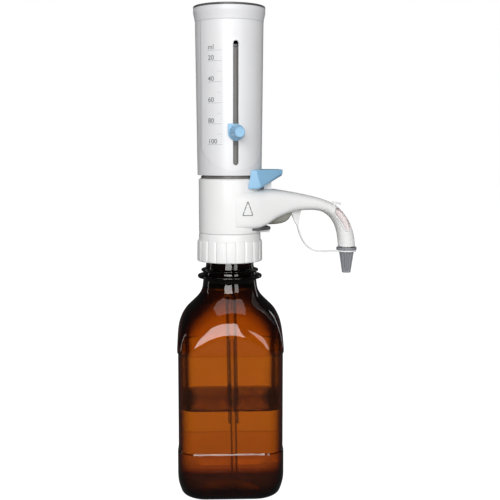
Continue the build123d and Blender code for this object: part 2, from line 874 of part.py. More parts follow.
def make_all():
    """Every sub-part under its node name."""
    return {
        "bottle": make_bottle(),
        "sealing_washer": make_washer(),
        "screw_collar": make_collar(),
        "neck_spigot": make_spigot(),
        "tube_guide": make_tube_guide(),
        "valve_block_cover": make_block_cover(),
        "valve_block_core": make_core(),
        "fill_valve": make_fill_valve(),
        "fill_ball": make_fill_ball(),
        "fill_tube": make_fill_tube(),
        "suction_tube": make_suction_tube(),
        "return_tube": make_return_tube(),
        "discharge_union": make_discharge_union(),
        "discharge_valve": make_discharge_body(),
        "discharge_ball": make_discharge_ball(),
        "discharge_spring": make_discharge_spring(),
        "discharge_tube": make_discharge_tube(),
        "nozzle_tip": make_nozzle(),
        "nozzle_cap": make_nozzle_cap(),
        "tether_ring": make_tether_ring(),
        "tether_strap": make_tether_strap(),
        "tether_clip": make_tether_clip(),
        "cylinder_seal": make_cylinder_seal(),
        "cylinder_sleeve": make_sleeve(),
        "glass_cylinder": make_glass_cylinder(),
        "cylinder_clamp_ring": make_clamp_ring(),
        "piston_housing": make_housing(),
        "scale_panel": make_scale_panel(),
        "top_ring": make_top_ring(),
        "top_cap": make_top_cap(),
        "piston_rod": make_piston_rod(),
        "rod_insert": make_rod_insert(),
        "piston_head": make_piston_head(),
        "piston_seals": make_piston_seals(),
        "piston_screw": make_piston_screw(),
        "stop_slider": make_slider(),
        "pointer_plate": make_pointer_plate(),
        "stop_stud": make_stud(),
        "stop_knob": make_knob(),
        "valve_lever": make_lever(),
        "lever_pin": make_lever_pin(),
        "lever_bracket": make_bracket(),
    }


if __name__ == "__main__":
    for name, shape in make_all().items():
        export_step(shape, f"parts/{name}.step")
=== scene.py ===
"""The visible model of a bottle-top burette on its amber bottle.

Sizes inside the classes are millimetres; every mesh is brought to metres when it is
settled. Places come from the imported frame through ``span``.
"""

import json
import logging
import math
from dataclasses import dataclass, field
from enum import Enum
from typing import Callable, Iterable, Optional, Sequence

import bmesh
import bpy
from mathutils import Matrix, Vector


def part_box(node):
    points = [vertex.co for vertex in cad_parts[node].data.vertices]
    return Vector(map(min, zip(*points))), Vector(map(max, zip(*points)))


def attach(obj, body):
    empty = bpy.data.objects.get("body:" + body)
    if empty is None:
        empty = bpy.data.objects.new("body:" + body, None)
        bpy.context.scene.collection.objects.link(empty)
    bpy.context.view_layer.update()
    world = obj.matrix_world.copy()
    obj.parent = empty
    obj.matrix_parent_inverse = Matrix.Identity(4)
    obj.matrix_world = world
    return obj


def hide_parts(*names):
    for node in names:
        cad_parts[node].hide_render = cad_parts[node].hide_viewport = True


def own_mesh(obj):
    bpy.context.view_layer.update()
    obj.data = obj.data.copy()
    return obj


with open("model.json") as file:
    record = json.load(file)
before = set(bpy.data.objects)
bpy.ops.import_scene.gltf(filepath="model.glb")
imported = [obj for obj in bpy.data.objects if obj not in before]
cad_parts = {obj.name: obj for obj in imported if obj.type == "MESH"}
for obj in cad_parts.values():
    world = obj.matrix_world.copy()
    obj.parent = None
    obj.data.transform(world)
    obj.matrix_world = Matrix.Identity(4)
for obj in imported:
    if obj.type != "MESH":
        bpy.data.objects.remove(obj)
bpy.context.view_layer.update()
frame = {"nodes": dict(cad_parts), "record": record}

logging.basicConfig(level=logging.INFO, format="%(name)s: %(message)s")
log = logging.getLogger("burette")

MM = 0.001
Pair = tuple[float, float]
Rim = Callable[[float], float]


class Body(Enum):
    """The bodies of the burette that new pieces ride on."""

    BOTTLE = "bottle"
    COLLAR = "collar"
    HEAD = "head"
    PLUNGER = "plunger"
    STOP = "volume_stop"
    KNOB = "knob"
    LEVER = "lever"
    CAP = "cap"


class Slot(Enum):
    """The record's material slots."""

    AMBER_GLASS = "amber_glass"
    CLEAR_GLASS = "clear_glass"
    WHITE = "white_plastic"
    HOUSING = "housing_plastic"
    DARK = "dark_plastic"
    GREY = "grey_plastic"
    BLUE = "blue_plastic"
    FLUOROPOLYMER = "fluoropolymer"
    TUBE = "tube_plastic"
    CERAMIC = "ceramic"
    SEAL = "seal_rubber"
    SPRING = "spring_steel"
    SCREW = "screw_steel"
    BRASS = "brass_insert"


# ---------------------------------------------------------------- places in the frame


@dataclass(frozen=True)
class Span:
    """A CAD node's lowest and highest corners, in millimetres."""

    low: Vector
    high: Vector

    @property
    def radius(self) -> float:
        """Half the node's width along X."""
        return (self.high.x - self.low.x) / 2

    @property
    def middle(self) -> Vector:
        """The centre of the node's box."""
        return (self.low + self.high) / 2


def span(node: str) -> Span:
    """Reads a node's box.

    Args:
        node: The CAD node's name.

    Returns:
        The box in millimetres.
    """
    low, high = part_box(node)
    return Span(Vector(low) / MM, Vector(high) / MM)


# ---------------------------------------------------------------- outlines


def rounded(corners: Sequence[tuple[float, float, float]], steps: int = 6) -> list[Pair]:
    """Rounds the corners of an open outline.

    Args:
        corners: Across, up and corner radius of each point; the ends stay sharp.
        steps: Points along each rounded corner.

    Returns:
        The outline's points in order.
    """
    line: list[Pair] = []
    last = len(corners) - 1
    for index, (across, up, radius) in enumerate(corners):
        if radius == 0 or index in (0, last):
            line.append((across, up))
            continue
        corner = Vector((across, up))
        back = Vector(corners[index - 1][:2]) - corner
        ahead = Vector(corners[index + 1][:2]) - corner
        cut = radius / math.tan(back.angle(ahead) / 2)
        start = corner + back.normalized() * min(cut, back.length * 0.49)
        end = corner + ahead.normalized() * min(cut, ahead.length * 0.49)
        for step in range(steps + 1):
            share = step / steps
            point = start.lerp(corner, share).lerp(corner.lerp(end, share), share)
            line.append((point.x, point.y))
    return line


def between(before: float, start: float, end: float, after: float, share: float) -> float:
    """A value on the smooth curve from start to end.

    Args:
        before: The value ahead of the stretch.
        start: The value where the stretch begins.
        end: The value where it ends.
        after: The value behind it.
        share: How far along the stretch, from 0 to 1.

    Returns:
        The value there.
    """
    slope = (end - before) * share
    bend = (2 * before - 5 * start + 4 * end - after) * share * share
    twist = (3 * start - before - 3 * end + after) * share**3
    return 0.5 * (2 * start + slope + bend + twist)


def smooth_line(points: Sequence[tuple[float, ...]], steps: int) -> list[tuple[float, ...]]:
    """Runs a smooth curve through points of any number of values.

    Args:
        points: The points to pass through.
        steps: Divisions of each stretch between two points.

    Returns:
        The curve's points, the given ones among them.
    """
    line: list[tuple[float, ...]] = []
    count = len(points)
    for index in range(count - 1):
        before = points[max(index - 1, 0)]
        start = points[index]
        end = points[index + 1]
        after = points[min(index + 2, count - 1)]
        for step in range(steps):
            share = step / steps
            line.append(tuple(between(*values, share) for values in zip(before, start, end, after)))
    line.append(tuple(points[-1]))
    return line


def reading(points: Sequence[Pair], place: float) -> float:
    """Reads a value off a line of (place, value) points, straight between them.

    Args:
        points: The line, places rising.
        place: Where to read.

    Returns:
        The value there; beyond an end, that end's value.
    """
    if place <= points[0][0]:
        return points[0][1]
    for (a, low), (b, high) in zip(points, points[1:]):
        if place <= b:
            return low + (high - low) * (place - a) / (b - a)
    return points[-1][1]


def soft_least(first: float, second: float, blend: float) -> float:
    """The lesser of two lengths, eased into each other within a blend width."""
    near = max(blend - abs(first - second), 0.0) / blend
    return min(first, second) - near * near * blend / 4


def soft_step(low: float, high: float, value: float) -> float:
    """A smooth rise from 0 to 1 as a value goes from low to high."""
    share = min(max((value - low) / (high - low), 0.0), 1.0)
    return share * share * (3 - 2 * share)


def square_rim(angle: float, half: float, corner: float) -> float:
    """Distance from the middle to a rounded square's edge.

    Args:
        angle: Direction in radians.
        half: Half the square's side.
        corner: Its corner radius.

    Returns:
        The distance along that direction.
    """
    across = max(abs(math.cos(angle)), abs(math.sin(angle)))
    along = min(abs(math.cos(angle)), abs(math.sin(angle)))
    straight = half / across
    inset = half - corner
    if straight * along <= inset:
        return straight
    reach = inset * (across + along)
    return reach + math.sqrt(max(reach * reach - 2 * inset * inset + corner * corner, 0.0))


# ---------------------------------------------------------------- mesh making


def turned(profile: Sequence[Pair], steps: int = 96, closed: bool = True) -> bmesh.types.BMesh:
    """Spins an outline about the Z axis.

    Args:
        profile: (radius, height) points.
        steps: Divisions of the full turn.
        closed: Whether the outline's last point joins its first.

    Returns:
        The new mesh, in millimetres.
    """
    bm = bmesh.new()
    verts = [bm.verts.new((radius, 0.0, height)) for radius, height in profile]
    pairs = list(zip(verts, verts[1:]))
    if closed:
        pairs.append((verts[-1], verts[0]))
    edges = [bm.edges.new(pair) for pair in pairs]
    bmesh.ops.spin(
        bm, geom=verts + edges, axis=(0, 0, 1), cent=(0, 0, 0), angle=math.tau, steps=steps, use_merge=True
    )
    clean(bm)
    return bm


def clean(bm: bmesh.types.BMesh) -> None:
    """Merges doubled points, drops empty faces and points every face outwards.

    Args:
        bm: The mesh to change.
    """
    bmesh.ops.remove_doubles(bm, verts=bm.verts, dist=1e-4)
    bmesh.ops.dissolve_degenerate(bm, edges=bm.edges, dist=1e-5)
    bmesh.ops.recalc_face_normals(bm, faces=bm.faces)


def add_ring(bm: bmesh.types.BMesh, points: Sequence[Vector]) -> list[bmesh.types.BMEdge]:
    """Adds a closed ring of edges whose corners stand at the given points.

    Args:
        bm: The mesh that gets the ring.
        points: The corners in order.

    Returns:
        The ring's edges.
    """
    made = bmesh.ops.create_circle(bm, cap_ends=False, radius=1.0, segments=len(points))["verts"]
    for vert, place in zip(made, points):
        vert.co = place
    return list({edge for vert in made for edge in vert.link_edges})


def lofted(rings: Sequence[Sequence[Vector]], capped: bool = True) -> bmesh.types.BMesh:
    """Bridges a row of rings into a skin.

    Args:
        rings: The rings' points, the same number in each.
        capped: Whether the first and last rings are closed.

    Returns:
        The new mesh, in millimetres.
    """
    bm = bmesh.new()
    loops = [add_ring(bm, ring) for ring in rings]
    for lower, upper in zip(loops, loops[1:]):
        bmesh.ops.bridge_loops(bm, edges=lower + upper)
    if capped:
        for loop in (loops[0], loops[-1]):
            bmesh.ops.contextual_create(bm, geom=loop)
    bmesh.ops.recalc_face_normals(bm, faces=bm.faces)
    return bm


def level_ring(height: float, rim: Rim, segments: int, turn: float = 0.0) -> list[Vector]:
    """A level ring whose distance from the axis depends on the direction.

    Args:
        height: The ring's height.
        rim: Gives the distance for an angle in radians.
        segments: Points in the ring.
        turn: Angle that the whole ring is turned by.

    Returns:
        The ring's points.
    """
    points = []
    for index in range(segments):
        angle = math.tau * index / segments
        distance = rim(angle)
        points.append(Vector((distance * math.cos(angle + turn), distance * math.sin(angle + turn), height)))
    return points


def tube_along(points: Sequence[Vector], outline: Sequence[Pair], side: Vector) -> list[list[Vector]]:
    """Rings of one outline set square to a line.

    Args:
        points: The line.
        outline: The section as (across, out) pairs.
        side: The direction of across, square to the line all along.

    Returns:
        A ring for each point of the line.
    """
    rings = []
    for index, point in enumerate(points):
        ahead = points[min(index + 1, len(points) - 1)] - points[max(index - 1, 0)]
        out = side.cross(ahead).normalized()
        rings.append([point + side * across + out * up for across, up in outline])
    return rings


def round_outline(radius: float, segments: int) -> list[Pair]:
    """A circle as section points."""
    return [
        (radius * math.cos(math.tau * i / segments), radius * math.sin(math.tau * i / segments))
        for i in range(segments)
    ]


def eased(bm: bmesh.types.BMesh, width: float, angle: float = 35.0, segments: int = 3) -> None:
    """Rounds every edge of a mesh that is sharper than an angle.

    Args:
        bm: The mesh to change.
        width: How far the rounding reaches, in millimetres.
        angle: Least angle between two faces, in degrees, that counts as sharp.
        segments: Faces across each rounding.
    """
    limit = math.radians(angle)
    sharp = [edge for edge in bm.edges if len(edge.link_faces) == 2 and edge.calc_face_angle(0.0) > limit]
    bmesh.ops.bevel(
        bm,
        geom=sharp,
        offset=width,
        offset_type="OFFSET",
        affect="EDGES",
        segments=segments,
        profile=0.5,
        material=-1,
        clamp_overlap=True,
    )


def settle(
    bm: bmesh.types.BMesh,
    name: str,
    body: Body,
    finish: "Finish",
    replaces: Iterable[str] = (),
    sharp: float = 32.0,
) -> bpy.types.Object:
    """Turns a mesh into a finished piece on its body.

    Args:
        bm: The mesh in millimetres; it is freed.
        name: The piece's name.
        body: The body that it rides on.
        finish: Its surface.
        replaces: CAD nodes that it stands for.
        sharp: Least angle in degrees that stays a crisp edge.

    Returns:
        The new object.
    """
    bmesh.ops.scale(bm, vec=(MM, MM, MM), verts=bm.verts)
    mesh = bpy.data.meshes.new(name)
    bm.to_mesh(mesh)
    bm.free()
    mesh.polygons.foreach_set("use_smooth", [True] * len(mesh.polygons))
    mesh.set_sharp_from_angle(angle=math.radians(sharp))
    piece = bpy.data.objects.new(name, mesh)
    bpy.context.scene.collection.objects.link(piece)
    mesh.materials.append(finish.material())
    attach(piece, body.value)
    names = tuple(replaces)
    if names:
        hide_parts(*names)
    log.info("%s: %d faces on %s", name, len(mesh.polygons), body.value)
    return piece


def combined(first: bmesh.types.BMesh, second: bmesh.types.BMesh, way: str) -> bmesh.types.BMesh:
    """Combines two closed shapes.

    Args:
        first: The shape that is kept; it is freed.
        second: The shape that is joined, taken away or met; it is freed.
        way: UNION, DIFFERENCE or INTERSECT.

    Returns:
        The result, in the same units.
    """
    helpers = []
    for index, shape in enumerate((first, second)):
        mesh = bpy.data.meshes.new(f"shape_{index}")
        shape.to_mesh(mesh)
        shape.free()
        helper = bpy.data.objects.new(mesh.name, mesh)
        bpy.context.scene.collection.objects.link(helper)
        helpers.append(helper)
    step = helpers[0].modifiers.new("combine", "BOOLEAN")
    step.operation = way
    step.object = helpers[1]
    step.solver = "EXACT"
    result = bmesh.new()
    result.from_object(helpers[0], bpy.context.evaluated_depsgraph_get())
    for helper in helpers:
        mesh = helper.data
        bpy.data.objects.remove(helper)
        bpy.data.meshes.remove(mesh)
    return result


def prism(outline: Sequence[Pair], start: float, end: float) -> bmesh.types.BMesh:
    """Pushes an outline seen from the front through from one depth to another.

    Args:
        outline: (x, z) points of the closed outline.
        start: The first depth along Y.
        end: The last depth along Y.

    Returns:
        The closed shape.
    """
    return lofted([[Vector((x, depth, z)) for x, z in outline] for depth in (start, end)])


def slab(outline: Sequence[Pair], half_width: float) -> bmesh.types.BMesh:
    """An outline in the XZ plane with equal widths on both sides of it."""
    return prism(outline, -half_width, half_width)


# ---------------------------------------------------------------- finishes


@dataclass(frozen=True)
class Finish:
    """A surface: its name, its record slot and the values that every surface has."""

    name: str
    slot: Slot
    colour: tuple[float, float, float]
    roughness: float = 0.35
    grain: float = 900.0
    relief: float = 0.04

    def material(self) -> bpy.types.Material:
        """Makes the material once and gives it back.

        Returns:
            The material.
        """
        title = f"finish_{self.name}"
        found = bpy.data.materials.get(title)
        if found is not None:
            return found
        made = bpy.data.materials.new(title)
        made.use_nodes = True
        nodes = made.node_tree.nodes
        shader = next(node for node in nodes if node.type == "BSDF_PRINCIPLED")
        self.dress(made.node_tree, shader)
        return made

    def dress(self, tree: bpy.types.NodeTree, shader: bpy.types.Node) -> None:
        """Sets the shader and adds the fine grain that a moulded surface has.

        Args:
            tree: The material's nodes.
            shader: Its principled shader.
        """
        shader.inputs["Base Color"].default_value = (*self.colour, 1.0)
        shader.inputs["Roughness"].default_value = self.roughness
        self.add_grain(tree, shader)
        self.add_tone(tree, shader)

    def pattern(self, tree: bpy.types.NodeTree, scale: float, detail: float = 3.0) -> bpy.types.Node:
        """A noise that stays fixed on the piece.

        Args:
            tree: The material's nodes.
            scale: The noise's scale.
            detail: How many finer layers it has.

        Returns:
            The noise node.
        """
        place = tree.nodes.new("ShaderNodeTexCoord")
        noise = tree.nodes.new("ShaderNodeTexNoise")
        noise.inputs["Scale"].default_value = scale
        noise.inputs["Detail"].default_value = detail
        tree.links.new(place.outputs["Object"], noise.inputs["Vector"])
        return noise

    def add_grain(self, tree: bpy.types.NodeTree, shader: bpy.types.Node) -> None:
        """Adds the fine relief and the small changes of gloss.

        Args:
            tree: The material's nodes.
            shader: Its principled shader.
        """
        noise = self.pattern(tree, self.grain)
        bump = tree.nodes.new("ShaderNodeBump")
        bump.inputs["Strength"].default_value = self.relief
        bump.inputs["Distance"].default_value = 0.0002
        tree.links.new(noise.outputs["Fac"], bump.inputs["Height"])
        tree.links.new(bump.outputs["Normal"], shader.inputs["Normal"])
        wide = self.pattern(tree, self.grain / 30, 4.0)
        gloss = tree.nodes.new("ShaderNodeMapRange")
        gloss.inputs["To Min"].default_value = self.roughness * 0.88
        gloss.inputs["To Max"].default_value = min(self.roughness * 1.12, 1.0)
        tree.links.new(wide.outputs["Fac"], gloss.inputs["Value"])
        tree.links.new(gloss.outputs["Result"], shader.inputs["Roughness"])

    def add_tone(self, tree: bpy.types.NodeTree, shader: bpy.types.Node) -> None:
        """Adds a slight drift of colour over the piece.

        Args:
            tree: The material's nodes.
            shader: Its principled shader.
        """
        noise = self.pattern(tree, 35.0, 2.0)
        ramp = tree.nodes.new("ShaderNodeValToRGB")
        ramp.color_ramp.elements[0].position = 0.3
        ramp.color_ramp.elements[1].position = 0.7
        ramp.color_ramp.elements[0].color = (*(channel * 0.975 for channel in self.colour), 1.0)
        ramp.color_ramp.elements[1].color = (*self.colour, 1.0)
        tree.links.new(noise.outputs["Fac"], ramp.inputs["Fac"])
        tree.links.new(ramp.outputs["Color"], shader.inputs["Base Color"])


@dataclass(frozen=True)
class Moulded(Finish):
    """Moulded plastic, with a thin gloss coat over it."""

    coat: float = 0.15
    metallic: float = 0.0

    def dress(self, tree: bpy.types.NodeTree, shader: bpy.types.Node) -> None:
        """Adds the coat and the metallic share to the common surface.

        Args:
            tree: The material's nodes.
            shader: Its principled shader.
        """
        Finish.dress(self, tree, shader)
        shader.inputs["Coat Weight"].default_value = self.coat
        shader.inputs["Coat Roughness"].default_value = 0.12
        shader.inputs["Metallic"].default_value = self.metallic


@dataclass(frozen=True)
class Metal(Finish):
    """Turned or drawn metal with fine marks across."""

    def dress(self, tree: bpy.types.NodeTree, shader: bpy.types.Node) -> None:
        """Makes the surface metallic."""
        Finish.dress(self, tree, shader)
        shader.inputs["Metallic"].default_value = 1.0


@dataclass(frozen=True)
class Translucent(Finish):
    """Milky plastic that lets part of the light through."""

    clearness: float = 0.4

    def dress(self, tree: bpy.types.NodeTree, shader: bpy.types.Node) -> None:
        """Mixes a soft body with clear plastic.

        Args:
            tree: The material's nodes.
            shader: Its principled shader.
        """
        Finish.dress(self, tree, shader)
        shader.inputs["Transmission Weight"].default_value = self.clearness
        shader.inputs["IOR"].default_value = 1.37


@dataclass(frozen=True)
class Glass(Finish):
    """Clear or tinted solid that bends light and takes colour with its depth."""

    bending: float = 1.5
    depth_colour: Optional[tuple[float, float, float]] = None
    depth: float = 0.0
    # Painted shade: the colour where the glass is seen at a low angle, and (height, brightness) pairs that
    # darken it by height.
    painted_edge_shade: Optional[tuple[float, float, float]] = None
    painted_level_shade: tuple[Pair, ...] = ()

    def dress(self, tree: bpy.types.NodeTree, shader: bpy.types.Node) -> None:
        """Sets the glass, its slight waves and the colour of its body.

        Args:
            tree: The material's nodes.
            shader: Its principled shader.
        """
        shader.inputs["Base Color"].default_value = (*self.colour, 1.0)
        shader.inputs["Roughness"].default_value = self.roughness
        shader.inputs["Transmission Weight"].default_value = 1.0
        shader.inputs["IOR"].default_value = self.bending
        noise = self.pattern(tree, self.grain, 1.0)
        bump = tree.nodes.new("ShaderNodeBump")
        bump.inputs["Strength"].default_value = self.relief
        bump.inputs["Distance"].default_value = 0.001
        tree.links.new(noise.outputs["Fac"], bump.inputs["Height"])
        tree.links.new(bump.outputs["Normal"], shader.inputs["Normal"])
        if self.painted_edge_shade is not None:
            self.paint_edge_and_level_shade(tree, shader)
        if self.depth_colour is not None:
            body = tree.nodes.new("ShaderNodeVolumeAbsorption")
            body.inputs["Color"].default_value = (*self.depth_colour, 1.0)
            body.inputs["Density"].default_value = self.depth
            output = next(node for node in tree.nodes if node.type == "OUTPUT_MATERIAL")
            tree.links.new(body.outputs["Volume"], output.inputs["Volume"])

    def paint_edge_and_level_shade(self, tree: bpy.types.NodeTree, shader: bpy.types.Node) -> None:
        """Paints shade into the colour: less light gets through where the glass is seen at a low angle, and
        at the listed heights.

        Args:
            tree: The material's nodes.
            shader: Its principled shader.
        """
        facing = tree.nodes.new("ShaderNodeLayerWeight")
        facing.inputs["Blend"].default_value = 0.5
        ramp = tree.nodes.new("ShaderNodeValToRGB")
        ramp.color_ramp.interpolation = "EASE"
        ramp.color_ramp.elements[0].position = 0.02
        ramp.color_ramp.elements[0].color = (*self.colour, 1.0)
        ramp.color_ramp.elements[1].position = 0.5
        ramp.color_ramp.elements[1].color = (*self.painted_edge_shade, 1.0)
        tree.links.new(facing.outputs["Facing"], ramp.inputs["Fac"])
        place = tree.nodes.new("ShaderNodeTexCoord")
        split = tree.nodes.new("ShaderNodeSeparateXYZ")
        tree.links.new(place.outputs["Object"], split.inputs["Vector"])
        # Painted shade by height: this ramp darkens the glass at the listed heights.
        levels = tree.nodes.new("ShaderNodeValToRGB")
        share = tree.nodes.new("ShaderNodeMapRange")
        top = self.painted_level_shade[-1][0]
        share.inputs["From Max"].default_value = top
        tree.links.new(split.outputs["Z"], share.inputs["Value"])
        tree.links.new(share.outputs["Result"], levels.inputs["Fac"])
        while len(levels.color_ramp.elements) < len(self.painted_level_shade):
            levels.color_ramp.elements.new(0.5)
        for element, (height, clear) in zip(levels.color_ramp.elements, self.painted_level_shade):
            element.position = height / top
            element.color = (clear, clear, clear, 1.0)
        both = tree.nodes.new("ShaderNodeMix")
        both.data_type = "RGBA"
        both.blend_type = "MULTIPLY"
        both.inputs[0].default_value = 1.0
        tree.links.new(ramp.outputs["Color"], both.inputs[6])
        tree.links.new(levels.outputs["Color"], both.inputs[7])
        tree.links.new(both.outputs[2], shader.inputs["Base Color"])


AMBER = Glass(
    name="amber_glass",
    slot=Slot.AMBER_GLASS,
    colour=(1.0, 1.0, 1.0),
    roughness=0.0,
    grain=22.0,
    relief=0.05,
    bending=1.52,
    depth_colour=(0.86, 0.63, 0.0),
    depth=1180.0,
    # Painted shade: near black where the glass is seen at a low angle, and darker at the base and the neck.
    painted_edge_shade=(0.015, 0.006, 0.003),
    painted_level_shade=((0.0, 0.12), (0.02, 0.9), (0.16, 1.0), (0.182, 0.14)),
)
WATER = Glass(
    name="still_liquid",
    slot=Slot.CLEAR_GLASS,
    colour=(1.0, 1.0, 1.0),
    roughness=0.0,
    grain=20.0,
    relief=0.0,
    bending=1.33,
    # Painted shade: the liquid darkens where it is seen at a low angle.
    painted_edge_shade=(0.34, 0.3, 0.28),
    painted_level_shade=((0.0, 1.0), (1.0, 1.0)),
)
CLEAR = Glass("clear_glass", Slot.CLEAR_GLASS, (0.97, 0.99, 0.98), 0.0, 30.0, 0.01, 1.47)
SOFT_TUBE = Translucent("tube_plastic", Slot.TUBE, (0.93, 0.84, 0.83), 0.22, 300.0, 0.02, 0.12)
CLEAR_TUBE = Glass(
    name="clear_tube",
    slot=Slot.TUBE,
    colour=(0.95, 0.95, 0.94),
    roughness=0.02,
    grain=60.0,
    relief=0.01,
    bending=1.38,
    # Painted shade: the tubes darken where they are seen at a low angle.
    painted_edge_shade=(0.1, 0.09, 0.08),
    painted_level_shade=((0.0, 1.0), (1.0, 1.0)),
)
WHITE = Moulded("white_plastic", Slot.WHITE, (0.88, 0.88, 0.875), 0.42, 1100.0, 0.05, 0.12)
PEARL = Moulded("housing_plastic", Slot.HOUSING, (0.78, 0.78, 0.795), 0.5, 1400.0, 0.03, 0.08, 0.05)
PANEL = Moulded("scale_panel_print", Slot.HOUSING, (0.82, 0.82, 0.83), 0.46, 1400.0, 0.02, 0.12, 0.05)
DARK = Moulded("dark_plastic", Slot.DARK, (0.085, 0.085, 0.09), 0.38, 900.0, 0.06, 0.1)
GREY = Moulded("grey_plastic", Slot.GREY, (0.36, 0.355, 0.31), 0.42, 900.0, 0.06, 0.05)
CAP_GREY = Moulded("cap_plastic", Slot.DARK, (0.27, 0.275, 0.3), 0.28, 900.0, 0.05, 0.4)
BLUE = Moulded("blue_plastic", Slot.BLUE, (0.28, 0.53, 0.76), 0.36, 900.0, 0.05, 0.15)
SLEEVE = Moulded("sleeve_plastic", Slot.DARK, (0.16, 0.155, 0.148), 0.36, 900.0, 0.05, 0.1)
INK = Moulded("scale_ink", Slot.DARK, (0.2, 0.2, 0.21), 0.5, 900.0, 0.0, 0.0)
FLUOROPOLYMER = Moulded("fluoropolymer", Slot.FLUOROPOLYMER, (0.84, 0.84, 0.82), 0.5, 700.0, 0.08, 0.0)
CERAMIC = Moulded("ceramic", Slot.CERAMIC, (0.87, 0.86, 0.82), 0.12, 1500.0, 0.01, 0.3)
RUBBER = Finish("seal_rubber", Slot.SEAL, (0.02, 0.02, 0.02), 0.6, 800.0, 0.1)
SPRING = Metal("spring_steel", Slot.SPRING, (0.6, 0.6, 0.6), 0.3, 1500.0, 0.04)
SCREW = Metal("screw_steel", Slot.SCREW, (0.62, 0.62, 0.63), 0.32, 1500.0, 0.05)
BRASS = Metal("brass_insert", Slot.BRASS, (0.72, 0.52, 0.24), 0.3, 1500.0, 0.05)

CAD_FINISHES: dict[str, Finish] = {
    finish.slot.value: finish
    for finish in (
        AMBER, CLEAR, WHITE, PEARL, DARK, GREY, BLUE,
        FLUOROPOLYMER, SOFT_TUBE, CERAMIC, RUBBER, SPRING, SCREW, BRASS,
    )
}


# ---------------------------------------------------------------- bottle


